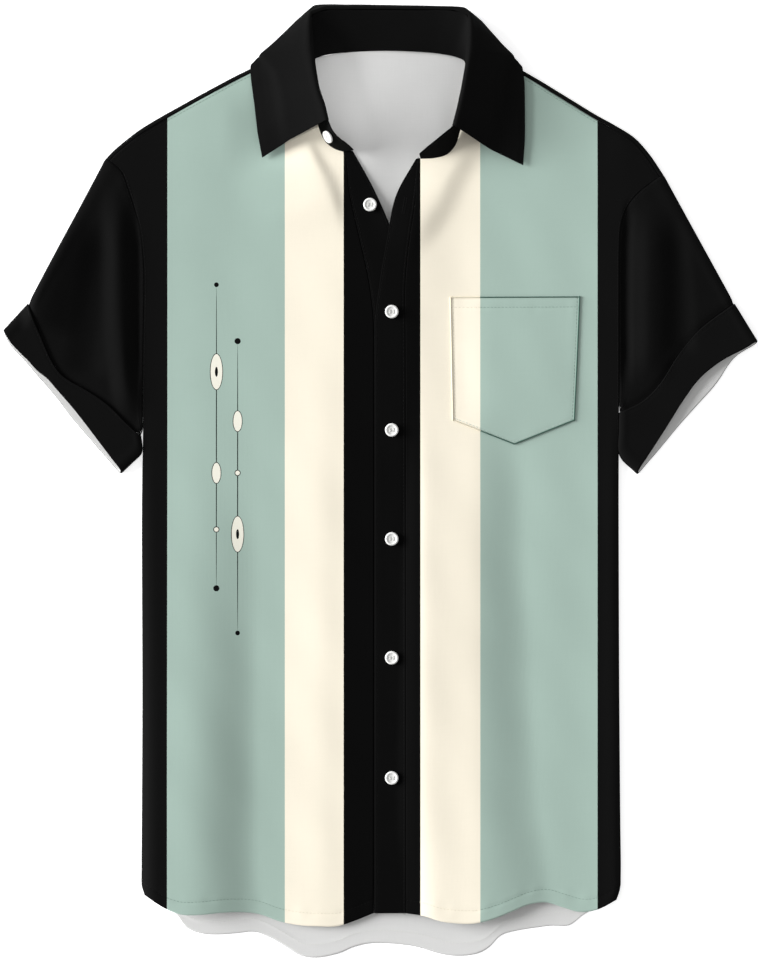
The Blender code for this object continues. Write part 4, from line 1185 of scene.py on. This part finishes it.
@dataclass
class Body:
    """Back and two fronts, joined by side seams and by shoulders that fold over to the top."""

    sewing: Sewing
    stitch_inset: float = 1.9    # top stitching beside a seam
    hem_depth: float = 11.0      # double-turned hem
    pucker: float = 0.16         # gathers along the fronts' hems
    corner_lean: float = 0.6     # how far a side's roll leans up at the hem's corner

    def side(self, side: int) -> tuple[np.ndarray, np.ndarray]:
        """Side and armhole of one half, set in by its roll, and the share of roll a row."""
        seam, arm = (SIDE_RIGHT, ARM_RIGHT) if side < 0 else (SIDE_LEFT, ARM_LEFT)
        outline = chain((seam[:3], CORNER_ROWS), (seam[2:], SIDE_ROWS - CORNER_ROWS),
                        (arm, ARM_ROWS))
        share = np.array([1.0] * (SIDE_ROWS - 1) + [0.6, 0.0] + [0.0] * ARM_ROWS)
        whole = ROLL + SOLID_WALL / 2
        reach = np.where(share == 1, whole,
                         ROLL * math.pi / 2 * (1 - share) + whole * share)
        return shifted(outline, -side, reach), share

    def arm_corner(self, side: int, line: np.ndarray, inset: float) -> np.ndarray:
        """Corner of a panel's flat part at the tip of the shoulder."""
        arm = walked(ARM_RIGHT if side < 0 else ARM_LEFT, ARM_ROWS)
        return inner_corner(line[0], outward(arm, side)[-1], ROLL * math.pi / 2,
                            outward(line, side)[0], inset)

    def with_side(self, grid: np.ndarray, side: int, share: np.ndarray, first: bool,
                  seam_z: float) -> np.ndarray:
        """Add the side seam's roll to the first or last columns of a grid."""
        edge = grid[:, 0] if first else grid[:, -1]
        normal = outward(edge, side)
        normal[0] = (normal[2] + (0, self.corner_lean)) / 1.17  # about a unit again
        strip = []
        for k in range(1, STRIP_COLS + 1):
            angle = math.pi / 2 * k / STRIP_COLS
            out = (ROLL * math.sin(angle) * share
                   + ROLL * math.pi / 2 * k / STRIP_COLS * (1 - share))
            drop = (edge[:, 2] - seam_z) * (1 - math.cos(angle)) * share
            strip.append(np.column_stack([edge[:, :2] + normal * out[:, None],
                                          edge[:, 2] - drop]))
        columns = np.stack(strip, axis=1)
        return (np.concatenate([columns[:, ::-1], grid], axis=1) if first
                else np.concatenate([grid, columns], axis=1))

    def front(self, side: int) -> np.ndarray:
        """Coarse grid of one front, from its side seam to its button band."""
        stitch, neck, shoulder, seat, hem = (
            (STITCH_RIGHT, NECK_RIGHT, SHOULDER_RIGHT, SEAT_RIGHT, HEM_RIGHT) if side < 0
            else (STITCH_LEFT, NECK_LEFT, SHOULDER_LEFT, SEAT_LEFT, HEM_LEFT[::-1]))
        outer, share = self.side(side)
        off = SHOULDER + SOLID_WALL / 2 + BACK_LIP + SEAM
        inner = np.vstack([band_line(stitch), walked(neck[::-1], NECK_ROWS)[1:]])
        inner = shifted(inner, side, BAND_LAP)
        line = chain((shoulder, SHOULDER_COLS), (seat, SEAT_COLS))
        top = shifted(line, -side, off)
        top[0] = self.arm_corner(side, line, off)
        outer[-1], inner[-1] = top[0], top[-1]
        low = snapped(walked(hem, SHOULDER_COLS + SEAT_COLS), outer[0], inner[0])
        grid = lifted(patch(low, top, outer, inner), UPPER)
        return self.with_side(grid, side, share, True, SOLID_WALL / 2 + ROLL + SIDE_GAP)

    def fold_point(self, part: float, share: float) -> tuple[float, float]:
        """Reach and rise along the shoulder's fold, unrolled by the share."""
        arc, angle = SHOULDER * math.pi, math.pi * share
        along = part * (arc + BACK_LIP)
        if angle < 0.01:
            return along, 0.0
        radius, bent = arc / angle, min(along, arc)
        past = along - bent
        return (radius * math.sin(bent / radius) + past * math.cos(angle),
                radius * (1 - math.cos(bent / radius)) + past * math.sin(angle))

    def back(self) -> np.ndarray:
        """Coarse grid of the back: flat below, with the shoulders folded over."""
        left, share = self.side(-1)
        right, share_right = self.side(1)
        top = chain((SHOULDER_RIGHT, SHOULDER_COLS), (SEAT_RIGHT, SEAT_COLS),
                    (NECK_BACK, NECK_COLS), (SEAT_LEFT[::-1], SEAT_COLS),
                    (SHOULDER_LEFT[::-1], SHOULDER_COLS))
        ease = [1 - k / SEAT_COLS for k in range(SEAT_COLS)]
        fold = ([1.0] * SHOULDER_COLS + ease + [0.0] * (NECK_COLS + 1) + ease[::-1]
                + [1.0] * SHOULDER_COLS)
        inset = np.array([max(self.fold_point(k / FOLD_STEPS, f)[0]
                              for k in range(FOLD_STEPS + 1)) + SOLID_WALL / 2 * f
                          for f in fold])
        first = self.arm_corner(-1, top, inset[0])
        last = self.arm_corner(1, top[::-1], inset[-1])
        top = np.vstack([first, shifted(top, 1, inset)[1:-1], last])
        left[-1], right[-1] = first, last
        low = snapped(walked(HEM_BACK, len(top) - 1), left[0], right[0])
        grid = lifted(patch(low, top, left, right), CLOTH / 2)
        seam_z = SOLID_WALL / 2 + ROLL
        grid = self.with_side(grid, -1, share, True, seam_z)
        grid = self.with_side(grid, 1, share_right, False, seam_z)
        spread = [fold[0]] * STRIP_COLS + fold + [fold[-1]] * STRIP_COLS
        edge, rows = grid[-1], [grid]
        normal = outward(edge, -1)
        rise_by = (UPPER - CLOTH / 2) / (2 * SHOULDER)
        for k in range(1, FOLD_STEPS + 1):
            turned = np.array([self.fold_point(k / FOLD_STEPS, f) for f in spread])
            rows.append(np.column_stack([edge[:, :2] + normal * turned[:, :1],
                                         edge[:, 2] + turned[:, 1] * rise_by])[None])
        return np.concatenate(rows)

    def make_front(self, side: int) -> None:
        """Build and dress one front."""
        right = side < 0
        name = "front_right" if right else "front_left"
        rows = steps((0, 2, 18), (2, 12, 90), (12, 25.6, 60), (25.6, 26, 4))
        columns = steps((0, 3, 7), (3, 3.35, 4), (3.35, 14.6, 44), (14.6, 15, 5))
        grid = refined(self.front(side), rows, columns)
        base = SOLID_WALL / 2 + ROLL + SIDE_GAP
        cloth = Cloth(name, raised(grid, base, UPPER, relief if right else left_relief))
        cloth.press(Edge.LOW, self.hem_depth, 1.3, -0.22, self.pucker)
        cloth.press(Edge.TOP, self.stitch_inset, 1.0, -0.15)
        arm = SIDE_ROWS / (SIDE_ROWS + ARM_ROWS) + 0.03
        flat = (208.0, 727.0) if right else (193.0, 727.0)
        rows = [cloth.beside(Edge.LOW, self.hem_depth, 0.02, 0.99),
                cloth.beside(Edge.TOP, self.stitch_inset, 0.02, 0.9),
                cloth.beside(Edge.FIRST, 0.9, arm, 0.99)]
        sewn = self.sewing.sew_matched(f"stitches_{name}", StitchKind.LOCK, rows, STITCHED)
        shown(cloth, ORNATE if right else STRIPED, REVERSE, flat,
              1356.0 if right else 1256.0, sewn)

    def make_back(self) -> None:
        """Build and dress the back."""
        rows = steps((0, 2, 18), (2, 12, 70), (12, 25.7, 44), (25.7, 26, 3), (26, 31, 12))
        columns = steps((0, 3, 6), (3, 32, 96), (32, 35, 6))
        grid = refined(self.back(), rows, columns)
        weight = smooth(1 - (grid[..., 2] - CLOTH / 2) / BACK_FADE)
        grid[..., 2] += weight * back_relief(grid[..., 0], grid[..., 1])
        cloth = Cloth("back", grid, shows_up=False)
        cloth.press(Edge.LOW, self.hem_depth, 1.3, -0.2)
        sewn = []
        for name, thread, inside in (("stitches_back", BLACK_THREAD, False),
                                     ("stitches_back_inside", WHITE_THREAD, True)):
            hem = cloth.beside(Edge.LOW, self.hem_depth, 0.03, 0.97, reverse=inside)
            sewn.append(self.sewing.lock(name, [hem], thread))
        shown(cloth, DYED, REVERSE, (482.0, 790.0), 3030.0,
              sewn)

    def make(self) -> None:
        """Build the body's three pieces."""
        self.make_back()
        self.make_front(-1)
        self.make_front(1)


@dataclass
class ButtonBands:
    """The two bands down the fronts: the left one, with the holes, lies on the right one."""

    sewing: Sewing
    stitch_inset: float = 1.6
    hole_length: float = 13.5
    neck_hole: tuple[float, float, float] = (21.0, 233.0, 80.0)  # x, y and turn in degrees

    def band(self, name: str, first: Rows, last: Rows, layer: Relief) -> Cloth:
        """One band, between its edge towards the wearer's right and the other one."""
        left, right = band_line(first), band_line(last)
        share = np.linspace(0, 1, 4)[None, :, None]
        grid = lifted(left[:, None] * (1 - share) + right[:, None] * share, UPPER)
        rows = steps((0, 2, 18), (2, 19, 176))
        grid = refined(grid, rows, steps((0, 0.3, 3), (0.3, 2.7, 12), (2.7, 3, 3)))
        return Cloth(name, raised(grid, 0.0, UPPER, layer))

    def make(self) -> None:
        """Build both bands with their edge stitching and the worked buttonholes."""
        under = self.band("placket_under", STITCH_RIGHT, EDGE_RIGHT, relief)
        over = self.band("placket_top", EDGE_LEFT, STITCH_LEFT, left_relief)
        height = face_height(left_relief)
        holes = [(x, y, 90.0) for x, y in BAND_BUTTONS.values()] + [self.neck_hole]
        for cloth, flat, area in ((under, (30.0, 668.0), 183.0), (over, (26.5, 642.0), 155.0)):
            for edge in (Edge.FIRST, Edge.LAST):
                cloth.press(edge, self.stitch_inset, 0.8, -0.14, 0.05)
            rows = [cloth.beside(edge, self.stitch_inset) for edge in (Edge.FIRST, Edge.LAST)]
            kinds = [(StitchKind.LOCK, rows)]
            if cloth is over:
                kinds.append((StitchKind.SATIN, [
                    run for x, y, angle in holes
                    for run in slot_rows(x, y, self.hole_length, angle, height)]))
            sewn = self.sewing.sew(f"stitches_{cloth.name}", kinds, BLACK_THREAD)
            shown(cloth, SHADED_BAND_POPLIN, REVERSE, flat, area,
                  [sewn])


@dataclass
class Sleeve:
    """A short sleeve laid flat, and its turned-up cuff."""

    sewing: Sewing
    side: int
    stations: int = 10           # steps from one end of a tube to the other
    arc_steps: int = 4           # steps round a fold
    spare: float = 0.2           # room at the armpit, where three pieces meet
    spare_from: float = 0.75     # share of the armhole past which it grows
    turn_from: float = 0.72      # share of a cuff's width past which its inner edge bends it

    @property
    def suffix(self) -> str:
        """Wearer's side, for names."""
        return "right" if self.side < 0 else "left"

    @property
    def top_share(self) -> float:
        """Share of the ring's columns that lie on the upper layer."""
        return (ARM_ROWS + 0.5) / (2 * (ARM_ROWS + self.arc_steps))

    def tucked(self, end: np.ndarray, inside: np.ndarray, distance: float) -> np.ndarray:
        """A layer's end moved inwards along the layer, by 0.7 of its last step at most."""
        along = inside[:2] - end[:2]
        length = np.linalg.norm(along)
        moved = end.copy()
        moved[:2] += along / length * min(distance, length * 0.7)
        return moved

    def section(self, top: np.ndarray, low: np.ndarray, wall: float, base: float,
                crest: float) -> np.ndarray:
        """Ring of points round a flattened tube.

        Args:
            top: Plan points of the upper layer, from the outer fold to the inner.
            low: The same of the lower layer.
            wall: Solid's wall, which the folds are set in by.
            base: Height of the lower layer.
            crest: Height of the upper layer.

        Returns:
            Points of the ring.
        """
        tops = np.column_stack([top, np.full(len(top), crest)])
        lows = np.column_stack([low, np.full(len(low), base)])
        for end, inside in ((0, 1), (-1, -2)):
            for layer in (tops, lows):
                layer[end] = self.tucked(layer[end], layer[inside], (LOFT + wall) / 2)
        out = []
        for layer, other in ((tops, lows), (lows[::-1], tops[::-1])):
            out.append(layer)
            away = np.append(layer[-1, :2] - layer[-2, :2], 0.0)
            away /= np.linalg.norm(away)
            middle, half = (layer[-1] + other[-1]) / 2, (layer[-1] - other[-1]) / 2
            for k in range(1, self.arc_steps):
                angle = math.pi * k / self.arc_steps
                out.append((middle + half * math.cos(angle)
                            + away * abs(half[2]) * math.sin(angle))[None])
        return np.concatenate(out)

    def tube(self, start: np.ndarray, stop: np.ndarray, low_stop: np.ndarray, wall: float,
             base: float, crest: float, turn: Rows = ()) -> np.ndarray:
        """Coarse grid of a flattened tube between two ends.

        Args:
            start: Plan points of both layers at the first end.
            stop: The same of the upper layer at the other end.
            low_stop: The same of the lower layer.
            wall: Solid's wall.
            base: Height of the lower layer.
            crest: Height of the upper layer.
            turn: Bent line that the tube's inner edge follows; none where it is straight.

        Returns:
            The grid, one ring a row.
        """
        rows = []
        pull = late_ramp(len(start) - 1, self.turn_from)[:, None]
        turns = walked(turn, self.stations) if turn else None
        for j in range(self.stations + 1):
            t = j / self.stations
            shift = np.zeros(2)
            if turns is not None:
                shift = turns[j] - (turns[0] * (1 - t) + turns[-1] * t)
            rows.append(self.section(start * (1 - t) + stop * t + pull * shift,
                                     start * (1 - t) + low_stop * t + pull * shift,
                                     wall, base, crest))
        return np.stack(rows)

    def ring_places(self) -> np.ndarray:
        """Places of the fine columns round the tube."""
        top, arc = ARM_ROWS, self.arc_steps
        return steps((0, 1, 4), (1, top - 1, 60), (top - 1, top, 4), (top, top + arc, 8),
                     (top + arc, 2 * top + arc, 40), (2 * top + arc, 2 * (top + arc), 8))[:-1]

    def make_sleeve(self, seam: np.ndarray) -> None:
        """Build the sleeve from its armhole to the cuff."""
        arm = ARM_RIGHT if self.side < 0 else ARM_LEFT
        spare = self.spare * late_ramp(ARM_ROWS, self.spare_from)
        start = shifted(walked(arm[::-1], ARM_ROWS), -self.side, SEAM + spare)
        stop = shifted(seam, self.side, spare)
        grid = self.tube(start, stop, stop, SOLID_WALL, CLOTH / 2, UPPER)
        fine = refined(grid, steps((0, 0.6, 5), (0.6, 9.6, 34), (9.6, 10, 4)),
                       self.ring_places(), ring=True)
        cloth = Cloth(f"sleeve_{self.suffix}", raised(fine, CLOTH / 2, UPPER, relief),
                      ring=True, probe=0.2)
        cloth.press(Edge.LOW, 0.0, 1.6, -0.3)
        cloth.press(Edge.LOW, 5.0, 3.0, 0.12, 0.1)
        cloth.press(Edge.TOP, 0.4, 3.4, -0.8)
        sewn = self.sewing.lock(f"stitches_{cloth.name}", [
            cloth.beside(Edge.LOW, 1.9, 0.01, self.top_share + 0.05)])
        flat, area = (((482.0, 140.0), 287.0) if self.side < 0 else ((416.0, 125.0), 232.0))
        shown(cloth, DYED, REVERSE, flat, area, [sewn])

    def make_cuff(self, seam: np.ndarray) -> None:
        """Build the turned-up cuff."""
        top, low, turn = ((CUFF_RIGHT_TOP, CUFF_RIGHT_LOW, CUFF_RIGHT_TURN) if self.side < 0
                          else (CUFF_LEFT_TOP, CUFF_LEFT_LOW, CUFF_LEFT_TURN))
        start = shifted(seam, -self.side, CUFF_GAP)
        crest = UPPER + (CUFF_CLOTH - CLOTH) / 2 + CUFF_RISE
        grid = self.tube(start, walked(top, ARM_ROWS), walked(low, ARM_ROWS),
                         CUFF_WALL, CUFF_CLOTH / 2, crest, turn)
        fine = refined(grid, steps((0, 0.7, 3), (0.7, 9.3, 17), (9.3, 10, 3)),
                       self.ring_places(), ring=True)
        cloth = Cloth(f"cuff_{self.suffix}", raised(fine, CUFF_CLOTH / 2, crest, relief),
                      CUFF_CLOTH, ring=True, probe=0.2)
        cloth.press(Edge.LOW, 1.8, 0.9, -0.18)
        sewn = self.sewing.lock(f"stitches_{cloth.name}", [
            cloth.beside(Edge.LOW, 1.8, 0.01, self.top_share + 0.05),
            cloth.beside(Edge.TOP, 2.2, 1 - self.top_share - 0.05, 0.99)])
        flat, area = (((318.0, 34.0), 73.0) if self.side < 0 else ((310.0, 56.0), 102.0))
        shown(cloth, DYED, REVERSE, flat, area, [sewn])

    def make(self) -> None:
        """Build sleeve and cuff."""
        seam = walked(CUFF_RIGHT_SEAM if self.side < 0 else CUFF_LEFT_SEAM, ARM_ROWS)
        self.make_sleeve(seam)
        self.make_cuff(seam)


@dataclass
class Collar:
    """Stand and leaf: upright at the sides, leaning back behind the neck."""

    sewing: Sewing
    stand_inset: float = 2.0     # top stitching along the stand
    edge_inset: float = 6.0      # top stitching round the leaf
    slack: float = 0.35          # unevenness of the leaf
    edge_lift: float = 0.1       # rise of the leaf's edge, as a share of its drop
    sag: float = 0.2             # hollow between its turn and its edge, the same

    def stand(self) -> Cloth:
        """The stand, with its rounded ends."""
        sections = np.array(STAND, float)[:, None]
        share = np.linspace(0, 1, 5)[None, :, None]
        grid = refined(sections[..., :3] * (1 - share) + sections[..., 3:] * share,
                       steps((0, 28, 150)), steps((0, 0.3, 2), (0.3, 3.7, 8), (3.7, 4, 2)))
        return Cloth("collar_stand", grid)

    def leaf(self) -> Cloth:
        """The leaf, which rolls over the stand's top and lies on the fronts."""
        sections = np.array(STAND[FIRST_LEAF:FIRST_LEAF + len(LEAF)], float)
        tops, rows = sections[:, 3:], []
        for i, (row, down) in enumerate(zip(sections, np.array(LEAF, float))):
            foot, top = row[:3], row[3:]
            up = (top - foot) / np.linalg.norm(top - foot)
            along = tops[min(i + 1, len(tops) - 1)] - tops[max(i - 1, 0)]
            out = -np.cross(up, along)
            out /= np.linalg.norm(out)
            if out @ (down[:3] - top) < 0:
                out = -out
            start, turn, edge = top + up * LEAF_GAP, down[:3], down[3:]
            edge = edge + (0, 0, (turn[2] - edge[2]) * self.edge_lift)
            middle = turn * 0.6 + edge * 0.4 - (0, 0, (turn[2] - edge[2]) * self.sag)
            rows.append(chain(((start, start + up * 1.2 + out * 0.5,
                                start + up * 2.2 + out * 2.2, turn), 6),
                              ((turn, middle, edge), 3)))
        grid = refined(np.array(rows), steps((0, 0.35, 6), (0.35, 19.65, 130), (19.65, 20, 6)),
                       steps((0, 2, 8), (2, 6, 12), (6, 8.5, 10), (8.5, 9, 5)), tight=(0.7, 0))
        rough = rumple(grid[..., 0] * 2.2, grid[..., 1] * 2.2) * self.slack
        fade = smooth(np.linspace(0, 2.5, grid.shape[1]))[None]
        cloth = Cloth("collar_leaf", grid, probe=0.9)
        cloth.grid = cloth.grid + cloth.normals() * (rough * fade)[..., None]
        return cloth

    def make(self) -> None:
        """Build both pieces with their top stitching."""
        stand, leaf = self.stand(), self.leaf()
        stand.press(Edge.FIRST, self.stand_inset, 0.9, -0.12)
        sewn = self.sewing.lock("stitches_collar_stand", [
            stand.beside(edge, self.stand_inset, 0.02, 0.98, reverse=True)
            for edge in (Edge.FIRST, Edge.LAST)])
        shown(stand, DYED, DYED, (335.0, 36.0), 91.0,
              [sewn])
        leaf.press(Edge.LAST, self.edge_inset, 1.1, -0.2, 0.08)
        rows = [leaf.beside(Edge.LAST, self.edge_inset, 0.02, 0.98)]
        rows += [leaf.beside(end, self.edge_inset, 0.12, 0.92) for end in (Edge.LOW, Edge.TOP)]
        sewn = self.sewing.lock("stitches_collar_leaf", rows)
        shown(leaf, DYED, DYED, (500.0, 47.0), 181.0,
              [sewn])


@dataclass
class ChestPocket:
    """Patch pocket with a pointed foot, its stripes set on those of the front."""

    sewing: Sewing
    columns: int = 10
    rows: int = 9
    mouth_hem: float = 8.5
    stitch_inset: float = 2.0
    slack: Fold = Fold(((97, 12), (96, 165)), 37, 66, 0.9, 0.35, 0.1)

    def relief(self, x: np.ndarray, y: np.ndarray) -> np.ndarray:
        """Height above the upper layer: the front's, and the pocket's slack over it."""
        return left_relief(x, y) + POCKET_LIFT + self.slack.at(x, y)

    def make(self) -> None:
        """Build the pocket with its hem and edge stitching, and a dark cord round its edge as
        painted shadow.
        """
        left = walked(POCKET_SIDE_IN, self.rows)
        right = walked(POCKET_SIDE_OUT, self.rows)
        half, point = self.columns // 2, np.array(POCKET_POINT)
        share = np.arange(half + 1)[:, None] / half
        low = np.vstack([left[0] * (1 - share[:-1]) + point * share[:-1],
                         point * (1 - share) + right[0] * share])
        grid = lifted(patch(low, walked(POCKET_MOUTH, self.columns), left, right), UPPER)
        fine = refined(grid, steps((0, 0.5, 5), (0.5, 7.8, 24), (7.8, 9, 12)),
                       steps((0, 0.5, 4), (0.5, 9.5, 36), (9.5, 10, 4)), tight=(0, 1))
        cloth = Cloth("pocket", raised(fine, 0.0, UPPER, self.relief), POCKET_CLOTH)
        cloth.press(Edge.TOP, self.mouth_hem, 1.0, -0.2, 0.06)
        for edge in (Edge.FIRST, Edge.LAST, Edge.LOW):
            cloth.press(edge, self.stitch_inset, 0.9, -0.16, 0.04)
        mouth, *sides, foot = [
            cloth.beside(edge, inset, 0.02, 0.98)
            for edge, inset in ((Edge.TOP, self.mouth_hem), (Edge.FIRST, self.stitch_inset),
                                (Edge.LAST, self.stitch_inset), (Edge.LOW, self.stitch_inset))]
        # Painted shadow: a dark cord laid along the pocket's very edge.
        painted_shadow_path = [cloth.beside(edge, 0.0)
                  for edge in (Edge.FIRST, Edge.TOP, Edge.LAST, Edge.LOW)]
        sewn = [*self.sewing.sew_matched("stitches_pocket", StitchKind.LOCK, [mouth, *sides],
                                         STITCHED),
                self.sewing.lock("stitches_pocket_foot", [foot], MIST_THREAD),
                *self.sewing.sew_matched("stitches_pocket_border", StitchKind.CORD, painted_shadow_path,
                                         SHADOW_LINE_THREADS)]
        shown(cloth, STRIPED, REVERSE, (109.6, 125.0), 122.0,
              sewn)


@dataclass
class Buttons:
    """Seven sewn-on buttons with four holes and a raised rim."""

    diameter: float = 11.5
    thickness: float = 2.6
    hole: float = 1.7
    hole_gap: float = 3.0        # between the middles of two holes
    sides: int = 48
    thread_radius: float = 0.17
    thread_sides: int = 8
    thread_steps: int = 14       # steps along one turn of thread
    thread_apart: float = 0.28   # between two turns
    thread_rise: float = 0.42    # of a turn's middle over the holes' rims
    thread_sink: float = 1.2     # of its ends into the holes

    def disc(self) -> bpy.types.Mesh:
        """Turned and drilled disc, face up."""
        r, t = self.diameter / 2, self.thickness
        # From the middle of the face round the rim to the middle of the foot, as shares.
        profile = ((0, 0.66), (0.3, 0.67), (0.56, 0.7), (0.64, 0.8), (0.7, 0.93), (0.77, 1.0),
                   (0.86, 0.98), (0.94, 0.88), (0.985, 0.72), (1.0, 0.52), (0.985, 0.34),
                   (0.93, 0.14), (0.84, 0.03), (0.7, 0.0), (0, 0.0))
        item = self.turned([(x * r, z * t) for x, z in profile])
        cutters = []
        for sx in (-1, 1):
            for sy in (-1, 1):
                hole = self.turned([(0, 3 * t), (self.hole / 2, 3 * t),
                                    (self.hole / 2, -3 * t), (0, -3 * t)], sides=16)
                hole.location = (sx * self.hole_gap / 2 * MM, sy * self.hole_gap / 2 * MM, 0)
                cut = item.modifiers.new("hole", "BOOLEAN")
                cut.operation, cut.solver, cut.object = "DIFFERENCE", "EXACT", hole
                cutters.append(hole)
        made = baked(item)
        for part in [item] + cutters:
            bpy.data.objects.remove(part)
        return made

    def turned(self, profile: Sequence[tuple[float, float]],
               sides: int | None = None) -> bpy.types.Object:
        """Object turned from a profile of (radius, height)."""
        mesh = meshed("turned", [(x * MM, 0, z * MM) for x, z in profile],
                      [(k, k + 1) for k in range(len(profile) - 1)], [])
        item = placed("turned", mesh)
        turn = item.modifiers.new("turn", "SCREW")
        turn.steps = turn.render_steps = sides or self.sides
        turn.use_merge_vertices, turn.merge_threshold = True, 0.01 * MM
        turn.use_normal_calculate = True
        return item

    def turn_line(self, x: float) -> np.ndarray:
        """Middle of one turn of thread, at one place across the button."""
        half, top = self.hole_gap / 2, self.thickness * 0.7
        rise = ((half, -self.thread_sink), (half, 0), (half * 0.6, self.thread_rise))
        path = [(x, -y, top + z) for y, z in rise] + [(x, y, top + z) for y, z in rise[::-1]]
        return walked(path, self.thread_steps)

    def loops(self) -> tuple[np.ndarray, list[tuple[int, ...]]]:
        """Thread of a button: two bars of three turns each, over the holes.

        Returns:
            Points and faces in the button's own place.
        """
        points, faces, sides = [], [], self.thread_sides
        middles = [bar * self.hole_gap / 2 + turn * self.thread_apart
                   for bar in (-1, 1) for turn in (-1, 0, 1)]
        for x in middles:
            line, start = self.turn_line(x), len(points)
            last = len(line) - 1
            for k, place in enumerate(line):
                along = line[min(k + 1, last)] - line[max(k - 1, 0)]
                up = np.cross((1.0, 0.0, 0.0), along / np.linalg.norm(along))
                for s in range(sides):
                    angle = math.tau * s / sides
                    out = math.cos(angle) * np.array((1.0, 0, 0)) + math.sin(angle) * up
                    points.append(place + self.thread_radius * out)
            for k in range(last):
                for s in range(sides):
                    a, b = start + k * sides + s, start + k * sides + (s + 1) % sides
                    faces.append((a, a + sides, b + sides, b))
            faces.append(tuple(start + s for s in range(sides)))
            faces.append(tuple(start + last * sides + s for s in reversed(range(sides))))
        return np.array(points), faces

    def place(self, name: str, disc: bpy.types.Mesh) -> None:
        """One button where its solid is, tilted as the cloth under it."""
        low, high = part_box(name)
        normal = self.tilt(name)
        turn = Vector((0, 0, 1)).rotation_difference(normal).to_matrix()
        middle = (low + high) / 2 - normal * (self.thickness / 2 * MM)
        body = [turn @ v.co + middle for v in disc.vertices]
        thread, loops = self.loops()
        body += [turn @ (Vector(p) * MM) + middle for p in thread]
        base = len(disc.vertices)
        faces = [tuple(f.vertices) for f in disc.polygons]
        faces += [tuple(v + base for v in f) for f in loops]
        mesh = meshed(name, [tuple(p) for p in body], [], faces, RESIN, WHITE_THREAD)
        slots = np.repeat([0, 1], [len(faces) - len(loops), len(loops)])
        mesh.polygons.foreach_set("material_index", slots.astype(np.int32))
        mesh.shade_smooth()
        mesh.update()
        item = placed(f"{name}_sewn_on", mesh)
        mesh.set_sharp_from_angle(angle=math.radians(50))
        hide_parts(name)
        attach(item, "root")
        LOG.info("%s: %d faces", item.name, len(faces))

    def tilt(self, name: str) -> Vector:
        """Direction in which a button faces."""
        spots = BAND_BUTTONS | NECK_BUTTON
        if name in spots:
            x, y = spots[name]
            height = face_height(relief if name in NECK_BUTTON else left_relief)
            return Vector((height(x - 1, y) - height(x + 1, y),
                           height(x, y - 1) - height(x, y + 1), 2)).normalized()
        foot, top = Vector(STAND[3][:3]), Vector(STAND[3][3:])
        along = (Vector(STAND[4][:3]) + Vector(STAND[4][3:])
                 - Vector(STAND[2][:3]) - Vector(STAND[2][3:]))
        normal = along.cross(top - foot).normalized()
        return -normal if normal.x > 0 else normal

    def make(self) -> None:
        """Build all seven."""
        disc = self.disc()
        for name in [*BAND_BUTTONS, *NECK_BUTTON, "button_stand"]:
            self.place(name, disc)


@dataclass
class Studio:
    """Floor, soft light and a camera straight above."""

    centre_x: float = -0.85
    height: float = 4.0          # of the camera, in metres
    view_height: float = 816.0   # length that the camera sees at the upper layer
    sky: float = 0.46            # light that comes evenly from all round
    key: float = 0.56            # light that the key gives on level paper
    key_turn: float = 170.0      # direction of the key in plan, in degrees from +X
    key_tilt: float = 74.0       # degrees from straight above
    key_size: float = 34.0       # spread of its soft box, in degrees
    fill_power: float = 13.0     # soft fill over the neck, in watts
    fill_place: tuple[float, float, float] = (-0.03, 0.329, 0.9)  # metres
    fill_width: float = 0.135    # across its pool of light, in metres
    floor_size: float = 4.0      # from its middle to its sides, in metres
    floor_z: float = -0.0002     # just under the cloth, in metres
    sensor: float = 36.0         # width of the camera's sensor

    def make(self) -> None:
        """Set up the stage."""
        scene = bpy.context.scene
        scene.view_settings.view_transform = "Standard"
        corners = [(x * self.floor_size, y * self.floor_size, self.floor_z)
                   for x, y in ((-1, -1), (1, -1), (1, 1), (-1, 1))]
        floor = meshed("studio_floor", corners, [], [(0, 1, 2, 3)], PAPER)
        placed("studio_floor", floor)
        world = bpy.data.worlds.new("studio_sky")
        world.use_nodes = True
        feed(world.node_tree, world.node_tree.nodes["Background"], {
            "Strength": self.sky, "Color": (1, 1, 1, 1)})
        scene.world = world
        self.key_lamp()
        self.fill_lamp()
        data = bpy.data.cameras.new("camera")
        data.sensor_width = self.sensor
        data.lens = self.sensor * (self.height - UPPER * MM) / (self.view_height * MM)
        data.clip_end = 50.0
        scene.camera = placed("camera", data)
        scene.camera.location = (self.centre_x * MM, 0.0, self.height)

    def key_lamp(self) -> None:
        """Key: a large soft box, low and far off to the left of the camera."""
        data = bpy.data.lights.new("key_light", "SUN")
        data.energy = self.key * math.pi / math.cos(math.radians(self.key_tilt))
        data.angle = math.radians(self.key_size)
        turn, tilt = math.radians(self.key_turn), math.radians(self.key_tilt)
        towards = Vector((math.cos(turn) * math.sin(tilt), math.sin(turn) * math.sin(tilt),
                          math.cos(tilt)))
        lamp = placed("key_light", data)
        lamp.location = towards * 3
        lamp.rotation_mode = "QUATERNION"
        lamp.rotation_quaternion = (-towards).to_track_quat("-Z", "Y")

    def fill_lamp(self) -> None:
        """Fill: a small soft lamp straight above, for the inside that the collar shades."""
        data = bpy.data.lights.new("fill_light", "SPOT")
        data.energy = self.fill_power
        data.spot_size = 2 * math.atan(self.fill_width / 2 / self.fill_place[2])
        data.spot_blend, data.shadow_soft_size = 0.85, 0.03
        placed("fill_light", data).location = self.fill_place


def main() -> None:
    """Build the shirt round its frame."""
    logging.basicConfig(level=logging.INFO, format="%(name)s: %(message)s")
    Studio().make()
    sewing = Sewing()
    Body(sewing).make()
    ButtonBands(sewing).make()
    for side in (-1, 1):
        Sleeve(sewing, side).make()
    Collar(sewing).make()
    ChestPocket(sewing).make()
    Buttons().make()
    bpy.context.view_layer.update()


if __name__ == "__main__":
    main()
